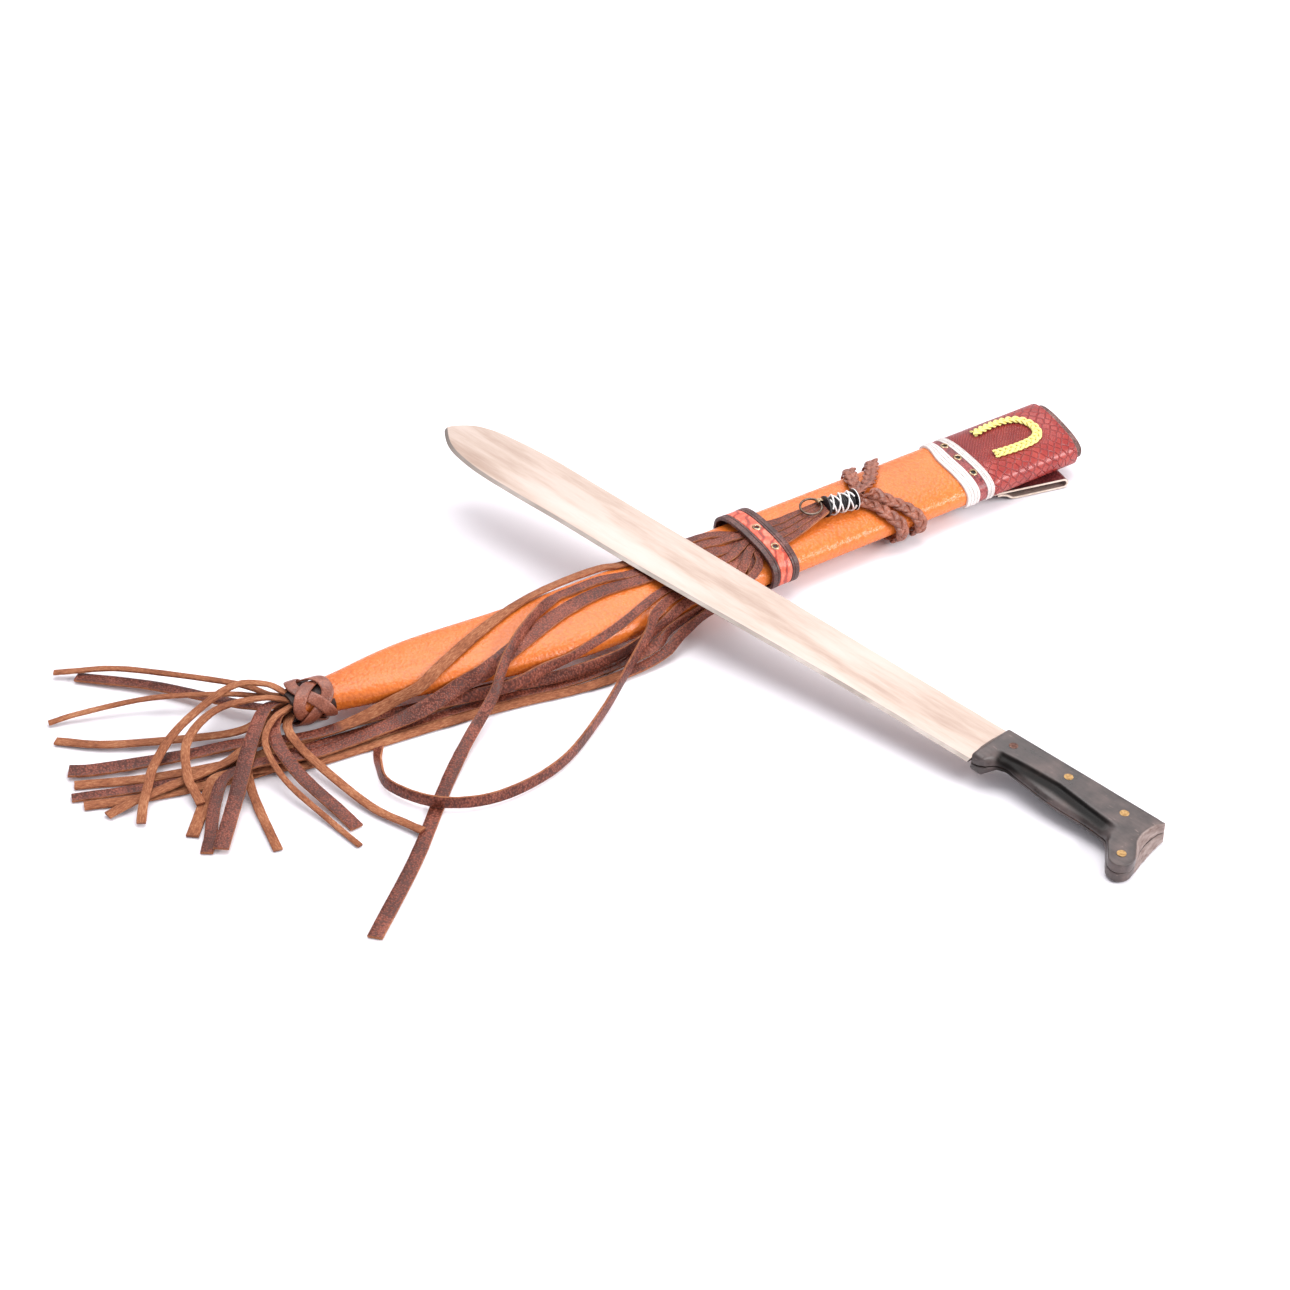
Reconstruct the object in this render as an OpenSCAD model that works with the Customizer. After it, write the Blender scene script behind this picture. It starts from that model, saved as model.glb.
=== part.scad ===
/* [Scabbard] */
// Width of the scabbard body
sheath_w = 61; // [58:0.5:66]
// Thickness of the scabbard body
sheath_h = 21.6; // [20:0.2:24]
// Height of the scabbard's middle above the ground
sheath_z = 22; // [21:0.2:24]
// Sideways lean of the scabbard where it lies
sheath_roll = 10; // [6:0.5:12]
// Thickness of the orange skin
skin_t = 1.8; // [1.2:0.1:2.2]
// Thickness of the dark lining
lining_t = 1.6; // [1.2:0.1:2]
// How far the lining stands out of the mouth
lining_show = 6.5; // [3:0.5:9]
// Slant of the mouth seen from above
mouth_slant = 7.4; // [4:0.2:10]

/* [Collar and bands] */
// Length of the red collar behind the mouth
collar_l = 85; // [78:1:90]
// Thickness of the red collar
collar_t = 1.2; // [0.8:0.1:1.6]
// Width of each white lacing strip's cord
strip_ply = 5.5; // [4.5:0.1:6]
// Width of the red band that carries the eyelets
eyelet_band_w = 7.3; // [6.4:0.1:9]
// Outer diameter of an eyelet
eyelet_d = 6; // [5.6:0.1:6.4]
// Width of the horseshoe's braid
shoe_w = 7; // [6:0.5:8]
// How far the horseshoe stands above the collar
shoe_t = 2.2; // [1.4:0.1:3]

/* [Belt loop] */
// Width of the belt loop's strap
loop_w = 44; // [34:1:48]
// Thickness of the belt loop's strap
loop_t = 1.8; // [1.4:0.1:1.9]

/* [Keeper] */
// Width of the sliding keeper
keeper_w = 22.5; // [20:0.5:24]
// Thickness of the keeper's strap
keeper_t = 1.6; // [1.2:0.1:2]
// Height of the keeper's two dark edges
keeper_trim_t = 1; // [0.6:0.1:1.4]
// Width of each dark edge
keeper_trim_w = 6; // [5:0.2:6.6]

/* [Thongs] */
// Thickness of a leather thong
thong_t = 1.8; // [1.4:0.1:2]
// Thickness of the strand in the knot at the tip
knot_t = 1.6; // [1.2:0.1:1.8]
// Width of the strand in the knot
knot_w = 6; // [4:0.5:7]

/* [Ferrule and ring] */
// Length of the wound ferrule
ferrule_l = 24.4; // [23:0.1:27]
// Diameter of the ferrule's end discs
ferrule_d = 15.4; // [15.4:0.1:16]
// Diameter of the black winding cord
wind_d = 1.5; // [1.3:0.05:1.55]
// Diameter of the white lacing cord
lace_d = 0.9; // [0.7:0.05:0.95]
// Outer diameter of the steel ring
ring_d = 17; // [15:0.5:18]
// Diameter of the ring's wire
wire_d = 1.7; // [1.3:0.1:1.9]
// Width of the lanyard braids
braid_w = 9; // [7:0.5:9.5]
// Thickness of the lanyard braids
braid_t = 5; // [4:0.2:5.2]

/* [Machete] */
// Thickness of the blade
blade_t = 2; // [1.6:0.1:2.6]
// Length of the blade in front of the handle
blade_l = 498; // [480:1:505]
// Width of the ground edge
bevel_w = 3; // [2:0.5:5]
// Thickness of the handle over both scales
handle_t = 14.5; // [13:0.5:16]
// Diameter of the four handle rivets
pin_d = 6; // [4:0.2:7]
// Depth of the hollow along the finger side
scoop = 14; // [8:1:18]

/* [Hidden] */
$fn = 48;

leather_brown = [0.50, 0.31, 0.24];
leather_dark = [0.36, 0.24, 0.22];
collar_red = [0.66, 0.25, 0.22];
brass = [0.72, 0.60, 0.36];

fit = 0.1;          // clearance between two leather layers
sheath_y = 90.5;    // the scabbard's middle across the ground
mouth_x = 311.3;    // the collar's mouth on the axis
ply_gap = 0.4;      // groove between the two cords of a strip
SIDES = 40;

// Superellipse of half width a and half thickness b
function oval(a, b) = [for (i = [0:SIDES - 1]) let (t = 360 * i / SIDES, c = cos(t), s = sin(t))
  [a * sign(c) * pow(abs(c), 2 / 2.6), b * sign(s) * pow(abs(s), 2 / 2.6)]];
// Height of that oval over its middle at u across, and the tilt of its surface there
function oval_w(a, b, u) = b * pow(1 - pow(min(abs(u) / a, 0.985), 2.6), 1 / 2.6);
function oval_a(a, b, u) = atan2(sign(u) * pow(min(abs(u) / a, 0.985), 1.6) / a,
  pow(oval_w(a, b, u) / b, 1.6) / b);
// Highest point of the oval when it leans by r
function reach(a, b, r) = pow(pow(a * sin(r), 1.625) + pow(b * cos(r), 1.625), 1 / 1.625);

// Stations along the scabbard from mouth to tip: x, sideways, down, width and thickness
// shares, lean share
taper = [[330, 0, 0, 1, 1, 1], [-110, 0, 0, 1, 1, 1], [-144, 2.2, 0.6, 0.985, 1, 1],
  [-177, 8.4, 1.3, 0.9, 0.98, 1], [-212, 15.8, 2.2, 0.87, 0.96, 0.9],
  [-246, 23.1, 3.5, 0.77, 0.93, 0.7], [-267, 27.1, 4.6, 0.62, 0.89, 0.5],
  [-281, 29.5, 5.6, 0.52, 0.84, 0.3], [-294, 31.8, 6.9, 0.42, 0.8, 0.1],
  [-318, 38, 8.5, 0.35, 0.79, 0]];
function below(x, i = 1) = i >= len(taper) - 1 || taper[i][0] <= x ? i : below(x, i + 1);
function raw(x) = let (i = below(x), p = taper[i - 1], q = taper[i],
  t = min(1, (p[0] - x) / (p[0] - q[0]))) p + (q - p) * t;
// Station at x: y, z, half width, half thickness, lean
function st(x) = let (r = raw(x)) [sheath_y + r[1], sheath_z - r[2], sheath_w / 2 * r[3],
  sheath_h / 2 * r[4], sheath_roll * r[5]];
function turned(x, u, w) = let (s = st(x)) [x, s[0] + u * cos(s[4]) - w * sin(s[4]),
  s[1] + u * sin(s[4]) + w * cos(s[4])];

// Points of a thong: x, y, z, lean, width, thickness
function on(x, u, w = 8, lift = 0.3) = let (s = st(x), a = oval_a(s[2], s[3], u),
  d = thong_t / 2 + lift, v = sign(u) * min(abs(u), 0.985 * s[2]))
  concat(turned(x, v + d * sin(a), oval_w(s[2], s[3], u) + d * cos(a)), [a - s[4], w, thong_t]);
function over(x, u, v, w = 8, t = thong_t) = concat(turned(x, u, v), [-st(x)[4], w, t]);
function at(x, y, z, r = 0, w = 8) = [x, y, z, r, w, thong_t];
function fr(x, y, z, w = 6) = [x, y, z, 0, w, thong_t];
low = sheath_h / 2 + 0.3 + thong_t / 2;
high = low + thong_t + 0.35;
// The bound end of a tassel thong: column c in the ferrule, u under the keeper, layer k
function head(c, u, k, d = 0) = let (v = low + (high - low) * k - d, n = 16.2 + 2.9 * k,
  m = 0.96 * c - 0.6)
  [over(89 + 0.14 * c, m, n, 3, 2.6), over(68, 0.5 * (m + u), 0.6 * v + 0.4 * n, 4.2, 2),
   over(57, 0.3 * m + 0.7 * u, v + 0.15, 4.9), over(44, u, v + 0.1, 5.7),
   over(33, 1.02 * u, v, 5.8), over(22, 1.05 * u, v, 5.8)];

thong_1_route = concat(head(4.9, 8.5, 0), [on(13, 15, 6.4), on(4, 19.5, 7), on(-10, 21.5, 7.5),
  on(-63, 24, 8, 0.5), at(-80, 120, 34, 8), at(-112, 121.5, 33.6, 10), on(-148, 23.6, 8, 0.7),
  on(-188, 4.5, 8, 1.1), on(-227, -16, 8, 1.2), on(-244, -22.5, 8, 1), at(-258, 91.5, 16.4, -80),
  at(-292, 97.5, 7, -20), at(-325, 106.5, 3.6, 0, 9), at(-360, 123.5, 3.6, 0, 10),
  at(-398, 134.5, 3.4, 0, 11), at(-447, 152.5, 3.2, 0, 12), at(-463, 162, 3, 0, 12)]);
thong_4_route = concat(head(3.3, 5.2, 1), [over(13, 7.5, 13.7, 6.4), on(4, 10, 7),
  on(-10, 12.5, 7.5), on(-61, 10.7, 7), on(-89, 17, 7.4), on(-114, 17), on(-126, 15.7, 8, 0.6),
  over(-144, 7.5, 14.5), over(-162, -5.5, 17), over(-179, -19, 16.4), at(-193, 69.5, 26, -10),
  at(-206, 58, 14, 0, 8.4), at(-242, 40, 6, 0, 8.8), at(-264, 20.5, 2.4, 0, 9),
  at(-287, 0, 1.2, 0, 9), at(-332, -42.5, 1.1, 0, 9.4), at(-391, -91, 1.1, 0, 9.7)]);
thong_3_route = concat(head(1.6, 1.9, 0), [on(13, 0.6, 6.8), on(4, 0.2, 7.6), on(-10, 2.6, 9.6),
  on(-61, 2.5, 8.4, 0.4), on(-97, 6, 10, 0.4), on(-132, 0.7, 11, 0.5), on(-171, -14.5, 11, 0.7),
  on(-190, -22, 11, 0.8), on(-205, -25.5, 11, 0.9), at(-219, 78.5, 18, -60, 10.5),
  at(-248, 78.5, 11, -40, 10.5), at(-280, 81.5, 6, -10, 10), at(-323, 84.5, 4.4, 0, 10),
  at(-346, 87.5, 7.4, 0, 9), at(-368, 91.5, 9.6), at(-390, 90.5, 8), at(-407, 73.5, 3.8),
  at(-422, 51.5, 1.6), at(-432, 38.5, 1.2)]);
thong_6_route = concat(head(0, -1.4, 1), [over(13, -4.6, 14.1, 6), over(4, -7.8, 13.5, 6.4),
  on(-8, -8.5, 6.6), on(-56, -13, 6.8), on(-78, -18.3, 7, 0.4), on(-97, -23.5, 7.4, 0.5),
  on(-119, -27.5, 8, 0.7), on(-144, -29.6, 8, 0.9), at(-166, 63, 17, -75),
  at(-191, 65.5, 12.4, -70), at(-229, 80.5, 7.4, -30), at(-258, 91, 5.4, -12),
  at(-291, 103, 2.2), at(-328, 106, 1.4), at(-371, 110.5, 1.2), at(-423.5, 127.5, 1.2),
  at(-466, 148.5, 1.2)]);
thong_5_route = concat(head(-1.7, -4.7, 0), [on(13, -9.6, 6), on(4, -14.6, 6.4),
  on(-10, -15.8, 6.6), on(-54, -20.3, 6.8, 0.4), at(-72, 62, 27.6, -32, 7),
  at(-80, 57.5, 26, -46, 7), at(-88, 51, 22, -62, 7.4), at(-101, 45, 15, -76),
  at(-115, 38, 9.6, -82), at(-155, 11.5, 5.4, -85), at(-207, -17, 5, -85),
  at(-257, -23, 5.4, -85), at(-292, -7.5, 6.6, -85), at(-307, 26.5, 5.4, -80),
  at(-300, 51.5, 4.4, -60, 7), at(-290, 68.5, 2.6, -20, 7)]);
thong_8_route = concat(head(-3.3, -8, 1), [over(14, -13, 14.2, 6), over(7, -19.5, 13.5, 6),
  on(-2, -22.8, 6.4, 0.5), on(-12, -22.8, 6.4), on(-48, -26.8, 6.8, 0.7),
  at(-68, 58.5, 20.4, -76, 7.2), at(-89, 56, 14.6, -88), at(-114, 53.5, 12, -85),
  at(-156, 62, 7.6, -60), at(-200, 82.8, 3, -20), at(-236, 86, 1.2), at(-331, 97.5, 1.2),
  at(-373, 102, 1.2), at(-428, 119, 1.2), at(-473.5, 137.5, 1.2)]);
thong_9_route = concat(head(-5, -11.3, 0, 0.4), [on(13, -20, 5.8, 0.9), on(4, -28, 6, 0.8),
  at(-8, 59.5, 22, -62, 6.4), at(-26, 58.3, 20.4, -74, 6.6), at(-64, 57, 14, -85, 7),
  at(-88, 51, 8, -30, 7.4), at(-146, 58.5, 1.8, -8), at(-186, 67.5, 1.2), at(-236, 77, 1.2),
  at(-331, 89, 1.2), at(-374, 93.5, 1.2), at(-433, 110, 1.2), at(-471, 125.5, 1.2)]);
thong_10_route = concat(head(-6.6, -14, 1, 0.55), [on(18, -20, 5.4, 3), on(13, -24.4, 6, 3),
  at(4, 59, 26.6, -46, 6), at(-8, 56, 21.4, -62, 6.4), at(-26, 54.7, 18.2, -74, 6.6),
  at(-42, 53.7, 15.4, -80, 6.8), at(-62, 49.5, 11, -50, 7), at(-80, 44, 6, -16, 7.4),
  at(-106, 43.5, 2.8, -6), at(-146, 48.5, 1.4), at(-186, 58.5, 1.2), at(-236, 68, 1.2),
  at(-326, 79.5, 1.2), at(-344, 82, 3.6), at(-361, 90.5, 3.8), at(-389, 99.5, 4.2),
  at(-400, 91.5, 3.7), at(-411, 80.5, 1.6), at(-431, 58.5, 1.2)]);

fringe_1_route = [fr(-320, 135, 18.2, 4.2), fr(-327, 143.5, 17.6, 4.5), fr(-338, 167.5, 17, 5),
  fr(-372, 221.5, 10, 5), fr(-390, 244.5, 7, 5), fr(-408, 257.5, 5.2, 5), fr(-421, 266.5, 3.9, 5)];
fringe_2_route = [fr(-320, 130, 15.4, 4), fr(-332, 139.5, 11.4), fr(-345, 161.5, 8, 9),
  fr(-354, 179.5, 6, 9), fr(-376, 215.5, 4, 9), fr(-410, 255.5, 2, 9)];
fringe_3_route = [fr(-320, 135.3, 15.2, 3.4), fr(-333, 150.5, 14.8, 4.5),
  fr(-349, 167.5, 13, 4.5), fr(-387, 194.5, 10, 4.5), fr(-429, 212.5, 5, 4.5),
  fr(-449, 218.5, 2, 4.5)];
fringe_4_route = [fr(-320, 133.5, 9.8, 5), fr(-336, 133.5, 8), fr(-355, 132.5, 6.4, 7),
  fr(-378, 144.5, 4, 7), fr(-428, 172.5, 3, 7), fr(-454, 198.5, 1.5, 7)];
fringe_9_route = [fr(-320, 127.5, 9.8, 5), fr(-334, 123.5, 8.2), fr(-348, 118.5, 6, 7),
  fr(-368, 112, 5.6, 7), fr(-383, 108.5, 5, 7), fr(-434, 108.5, 4.4, 7), fr(-451, 108, 3.4, 7),
  fr(-464, 107.5, 1.8, 7)];
fringe_10_route = [fr(-320, 131.5, 22.4, 4.5), fr(-328, 145.5, 25, 5), fr(-348, 156.5, 24),
  fr(-389, 148.5, 15), fr(-418, 129.5, 9.4), fr(-433, 111.5, 7.8), fr(-442, 100.5, 5.9),
  fr(-451, 87.5, 2.4)];
fringe_11_route = [fr(-320, 125.5, 19.8, 4.4), fr(-336, 136.5, 22, 5), fr(-365, 144.5, 20),
  fr(-392, 133.5, 14), fr(-407, 107.5, 8.4), fr(-410, 93.5, 6), fr(-412, 81.5, 3.8)];
fringe_14_route = [fr(-320, 129, 17.8, 4.2), fr(-330, 130.5, 18.6, 6.5), fr(-341, 126.5, 18, 9),
  fr(-364, 103.5, 14, 10), fr(-381, 83.5, 11.4, 10), fr(-395, 67.5, 8, 10),
  fr(-424, 34.5, 3.4, 10)];
fringe_15_route = [fr(-320, 129.5, 12.4, 4.6), fr(-342, 122.5, 10), fr(-356, 113.5, 8.6),
  fr(-370, 95.5, 6.8), fr(-377, 81.5, 4.6), fr(-384, 58.5, 2.4), fr(-395, 15.5, 1.2)];
fringe_16_route = [fr(-320, 125, 15.2, 4.6), fr(-334, 120.5, 15, 7), fr(-346, 101.5, 13.5, 9),
  fr(-349, 66.5, 8, 9), fr(-345, 24.5, 3, 9), fr(-344, 6.5, 1.2, 9)];
fringe_17_route = [fr(-320, 123.3, 17.8, 4), fr(-340, 114.5, 19.4, 4), fr(-356, 96.5, 17, 4),
  fr(-360, 65.5, 9, 4), fr(-355, 23.5, 2.6, 4), fr(-352, -10.5, 1.2, 4)];
fringe_18_route = [fr(-320, 122.5, 12.2, 4.6), fr(-330, 114.5, 10.6), fr(-334, 96.5, 9),
  fr(-333, 69.5, 6.5), fr(-327, 18.5, 3), fr(-318, -10.5, 3.1), fr(-314, -22.5, 3.2)];

// The lanyard's braids in the scabbard's own frame: along, across, up, width, thickness
function bp(x, u, w, b = braid_w, t = braid_t) = concat(turned(x, u, w), [b, t]);
braid_inner_route = [bp(115, -2.8, 17.2, 4.4, 3), bp(120, -1.6, 15.8, 6, 4),
  bp(124.5, 2.5, 14.4, 8), bp(127.5, 9, 14), bp(130, 17, 13.3), bp(135.5, 26, 10.8),
  bp(140.5, 32.2, 7), bp(142.5, 34.8, 0.5), bp(142, 34.2, -6), bp(141, 28, -11.8),
  bp(140.5, 15, -13.9), bp(140, 0, -13.9), bp(139.5, -15, -13.9), bp(139, -27, -12.4),
  bp(138.5, -33.6, -6), bp(137.5, -34.4, 1), bp(136, -32.8, 6.5), bp(132.5, -28, 10.4),
  bp(128.5, -20, 12.9), bp(124.7, -12, 14, 8), bp(119.5, -9, 15.8, 6, 4),
  bp(114.2, -8.1, 17.2, 4.4, 3)];
braid_outer_route = [bp(115, -2.8, 21, 4.4, 3), bp(120, -2, 20.9, 5.2, 4),
  bp(127, 0.8, 19.6, 7), bp(133.3, 4, 17.8), bp(140, 10, 15.2), bp(147.4, 17, 13.4),
  bp(155.5, 25.5, 11), bp(161, 31.8, 7.4), bp(162.5, 34.8, 1), bp(162, 34.4, -5),
  bp(160.5, 28, -11.8), bp(159, 15, -13.9), bp(158, 0, -13.9), bp(157, -15, -13.9),
  bp(156, -27, -12.4), bp(155.5, -33.6, -6), bp(154.5, -34.4, 1), bp(152.5, -32.8, 6.5),
  bp(149, -28.5, 10.2), bp(144.5, -22.5, 12.6), bp(139, -15.4, 14.2), bp(133.5, -9, 16.2),
  bp(127, -6.8, 19.3, 7), bp(120, -8, 20.8, 5.2, 4), bp(114.2, -8.1, 21, 4.4, 3)];

function unit(v) = v / norm(v);
function spl(P, i, t) = let (n = len(P) - 1, b = P[i], d = P[i + 1],
  a = i > 0 ? P[i - 1] : 2 * b - d, e = i + 2 <= n ? P[i + 2] : 2 * d - b)
  0.5 * (2 * b + (d - a) * t + (2 * a - 5 * b + 4 * d - e) * t * t
    + (3 * b - a - 3 * d + e) * t * t * t);
function run(P, k) = [for (i = [0:len(P) - 2], j = [0:k - 1]) spl(P, i, j / k), P[len(P) - 1]];
function xyz(p) = [p[0], p[1], p[2]];
function dir(Q, i) = unit(xyz(Q[min(i + 1, len(Q) - 1)]) - xyz(Q[max(i - 1, 0)]));

// Side faces of n rings of m points, closed at both ends
function sides(n, m) = [for (i = [0:n - 2], j = [0:m - 1], k = [0, 1]) let (a = i * m + j,
  b = i * m + (j + 1) % m) k == 0 ? [a, b + m, b] : [a, a + m, b + m]];
function caps(n, m) = concat([for (j = [1:m - 2]) [0, j, j + 1]],
  [for (j = [1:m - 2]) [(n - 1) * m, (n - 1) * m + j + 1, (n - 1) * m + j]]);
module skin_of(rings) {
  n = len(rings);
  m = len(rings[0]);
  polyhedron([for (r = rings, p = r) p], concat(sides(n, m), caps(n, m)), convexity = 10);
}
// A flat strap with its lean measured about its own run
module strap(P, k = 2) {
  Q = run(P, k);
  skin_of([for (i = [0:len(Q) - 1]) let (T = dir(Q, i), S = unit(cross([0, 0, 1], T)),
    U = cross(T, S), r = Q[i][3], s = S * cos(r) + U * sin(r), u = U * cos(r) - S * sin(r),
    w = Q[i][4] / 2, h = Q[i][5] / 2, c = xyz(Q[i]))
    [c - s * w - u * h, c + s * w - u * h, c + s * w + u * h, c - s * w + u * h]]);
}
// A braid's plain solid, oval in section, whose flat side follows the scabbard
module braid(P, k = 2) {
  Q = run(P, k);
  skin_of([for (i = [0:len(Q) - 1]) let (T = dir(Q, i), S = unit([1, 0, 0] - T * T[0]),
    U = cross(T, S), c = xyz(Q[i])) [for (j = [0:9]) let (a = 36 * j)
    c + S * cos(a) * Q[i][3] / 2 + U * sin(a) * Q[i][4] / 2]]);
}
// A round cord of diameter d through the points Q
module cord(Q, d, m = 6) {
  skin_of([for (i = [0:len(Q) - 1]) let (T = dir(Q, i),
    S = unit(abs(T[2]) > 0.9 ? cross([1, 0, 0], T) : cross([0, 0, 1], T)), U = cross(T, S))
    [for (j = [0:m - 1]) let (a = 360 * j / m) Q[i] + (S * cos(a) + U * sin(a)) * d / 2]]);
}
// Least gap between two points of a cord that are at least far apart along it
function least(Q, d, far) = min([for (i = [0:len(Q) - 1 - far])
  min([for (j = [i + far:len(Q) - 1]) norm(Q[i] - Q[j])])]) - d;

// The scabbard's straight part lies along x in this frame
module lean() { translate([0, sheath_y, sheath_z]) rotate([sheath_roll, 0, 0]) children(); }
module along(x0, x1) {
  translate([x0, 0, 0]) rotate([90, 0, 90]) linear_extrude(x1 - x0) children();
}
module sleeve(x0, x1, g0, g1) {
  along(x0, x1) difference() {
    polygon(oval(sheath_w / 2 + g1, sheath_h / 2 + g1));
    polygon(oval(sheath_w / 2 + g0, sheath_h / 2 + g0));
  }
}
// Everything in front of a slanted mouth at x
module beyond(x) {
  translate([x, 0, 0]) rotate([0, 0, -mouth_slant]) translate([0, -60, -60]) cube([60, 120, 120]);
}
// One hollow layer of the scabbard between the offsets out and in
module layer(x0, out, in, xs, shut) {
  function ring_at(x, g, m) = let (s = st(x), tilt = m ? tan(mouth_slant) : 0)
    let (o = oval(s[2] + g, s[3] + g)) [for (i = [SIDES - 1:-1:0]) let (p = o[i],
      q = turned(x, p[0], p[1])) [x + tilt * p[0], q[1], q[2]]];
  A = concat([ring_at(x0, out, true)], [for (x = xs) ring_at(x, out, false)]);
  last = xs[len(xs) - 1];
  B = concat([for (i = [len(xs) - 1:-1:0]) ring_at(xs[i] + (i == len(xs) - 1 && shut ? 3 : 0),
    in, false)], [ring_at(x0, in, true)]);
  n = len(A);
  R = concat(A, B);
  // rings run down the outside and back up the inside; the seam joins the two mouths
  pts = [for (r = R, p = r) p];
  k = len(R);
  m = SIDES;
  seam = [for (j = [0:m - 1], t = [0, 1]) let (a = (k - 1) * m + j, b = (k - 1) * m + (j + 1) % m,
    c = j, d = (j + 1) % m) t == 0 ? [a, d, b] : [a, c, d]];
  if (shut) {
    inner = concat(sides(n, m), [for (f = sides(len(B), m)) [f[0] + n * m, f[1] + n * m, f[2] + n * m]]);
    e = n * m;
    end_out = [for (j = [1:m - 2]) [(n - 1) * m, (n - 1) * m + j + 1, (n - 1) * m + j]];
    end_in = [for (j = [1:m - 2]) [e, e + j, e + j + 1]];
    polyhedron(pts, concat(inner, seam, end_out, end_in), convexity = 10);
  } else polyhedron(pts, concat(sides(k, m), seam), convexity = 10);
}

module sheath_leather() {
  color([0.94, 0.55, 0.28]) layer(mouth_x - 0.4, 0, -skin_t,
    [-110, -144, -177, -212, -246, -267, -281, -294, -318], true);
}
module sheath_lining() {
  color([0.35, 0.23, 0.20]) layer(mouth_x + lining_show, -skin_t - fit,
    -skin_t - fit - lining_t, [-110, -144, -177, -212], false);
}
high_x = mouth_x - collar_l;
band_x = high_x - 0.1 - strip_ply - 1;
module collar() {
  color(collar_red) lean() difference() {
    sleeve(high_x, mouth_x + 10, fit, fit + collar_t);
    beyond(mouth_x);
  }
}
// Two cords side by side round the scabbard, sewn on a thin backing
module strip(x0, w) {
  half = (w - ply_gap) / 2;
  color("white") lean() {
    sleeve(x0, x0 + w, fit, fit + 0.9);
    sleeve(x0, x0 + half, fit + 0.9, fit + 1.9);
    sleeve(x0 + w - half, x0 + w, fit + 0.9, fit + 1.9);
  }
}
module strip_high() { strip(band_x, high_x - 0.1 - band_x); }
eyelet_x = band_x - 0.1 - eyelet_band_w;
module strip_low() { strip(eyelet_x - 0.1 - 2 * strip_ply - ply_gap, 2 * strip_ply + ply_gap); }
band_r = fit + collar_t;
eyelet_u = [17.5, 1.5, -16.5];
module eyelet_place(x, u, g, gu = 0, gw = 0) {
  a = sheath_w / 2 + g + gu;
  b = sheath_h / 2 + g + gw;
  lean() translate([x, u, oval_w(a, b, u)]) rotate([-oval_a(a, b, u), 0, 0]) children();
}
module eyelet_band() {
  color(collar_red) difference() {
    lean() sleeve(eyelet_x, band_x - 0.1, fit, band_r);
    for (u = eyelet_u) eyelet_place(eyelet_x + eyelet_band_w - eyelet_d / 2 - 0.3, u, band_r)
      translate([0, 0, -1.4]) cylinder(d = eyelet_d - 2, h = 3);
  }
}
// A rolled brass eyelet: barrel through the leather and a round flange on top
module eyelet(d, barrel) {
  rotate_extrude() difference() {
    union() {
      translate([d / 2 - 1.1, 0.3]) square([1.1, 0.25]);
      translate([d / 2 - 0.75, 0.6]) circle(r = 0.45, $fn = 24);
      translate([d / 2 - 1.5, -barrel]) square([0.4, barrel + 0.8]);
    }
    translate([0, -5]) square([0.01, 10]);
  }
}
module band_eyelets() {
  color(brass) for (u = eyelet_u)
    eyelet_place(eyelet_x + eyelet_band_w - eyelet_d / 2 - 0.3, u, band_r)
      intersection() {
        eyelet(eyelet_d, 0.9);
        translate([-5, -5, -0.95]) cube([10, 10, 3]);
      }
}
// Horseshoe on the collar: its middle line behind the mouth and across, open towards the bands
shoe_mid = [for (p = [[66.8, 16.8], [51.3, 18.5], [37.3, 18], [26.8, 13.8], [21.8, 4.4],
  [23.8, -5], [31.8, -10], [45.3, -11], [57.3, -10.5], [68.8, -9.5]]) [mouth_x - p[0], p[1]]];
module horseshoe() {
  Q = run(shoe_mid, 4);
  n = len(Q);
  function nrm(i) = let (t = Q[min(i + 1, n - 1)] - Q[max(i - 1, 0)]) [-t[1], t[0]] / norm(t);
  outline = concat([for (i = [0:n - 1]) Q[i] + nrm(i) * shoe_w / 2],
    [for (i = [n - 1:-1:0]) Q[i] - nrm(i) * shoe_w / 2]);
  color([0.93, 0.89, 0.60]) lean() intersection() {
    sleeve(mouth_x - 76, mouth_x - 12, band_r + 0.05, band_r + shoe_t);
    linear_extrude(60) polygon(outline);
  }
}

// Belt loop: a strap folded at the mouth end, lying on the ground under the collar
loop_h = sheath_z - reach(sheath_w / 2 + band_r, sheath_h / 2 + band_r, sheath_roll) - 0.15;
loop_bore = loop_h - 2 * loop_t;
module loop_place() { translate([mouth_x - 17.8, 52.5, 0]) rotate([0, 0, -14]) children(); }
module belt_loop() {
  r = loop_h / 2;
  q = loop_bore / 2;
  color(collar_red) loop_place() difference() {
    translate([0, loop_w, 0]) rotate([90, 0, 0]) linear_extrude(loop_w) difference() {
      union() {
        translate([-r, r]) circle(r);
        polygon([[-62, loop_h], [-r, loop_h], [-r, 0], [-46, 0], [-54, loop_h - 2 * loop_t],
          [-62, loop_h - 2 * loop_t]]);
      }
      translate([-r, r]) circle(q);
      polygon([[-47, r + q], [-r, r + q], [-r, r - q], [-45, r - q], [-49, r + q - 0.6]]);
    }
    for (y = rivet_y) translate([-58, y, -1]) cylinder(d = 3.1, h = 20);
  }
}
rivet_y = [26, 38];
module loop_pad() {
  color(leather_dark) difference() {
    loop_place() translate([-62, 18, loop_h + 0.02]) cube([22, 26, 6]);
    lean() along(200, 320) polygon(oval(sheath_w / 2 + band_r + 0.04, sheath_h / 2 + band_r + 0.04));
    loop_place() for (y = rivet_y) translate([-58, y, -1]) cylinder(d = 3.1, h = 20);
  }
}
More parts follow.
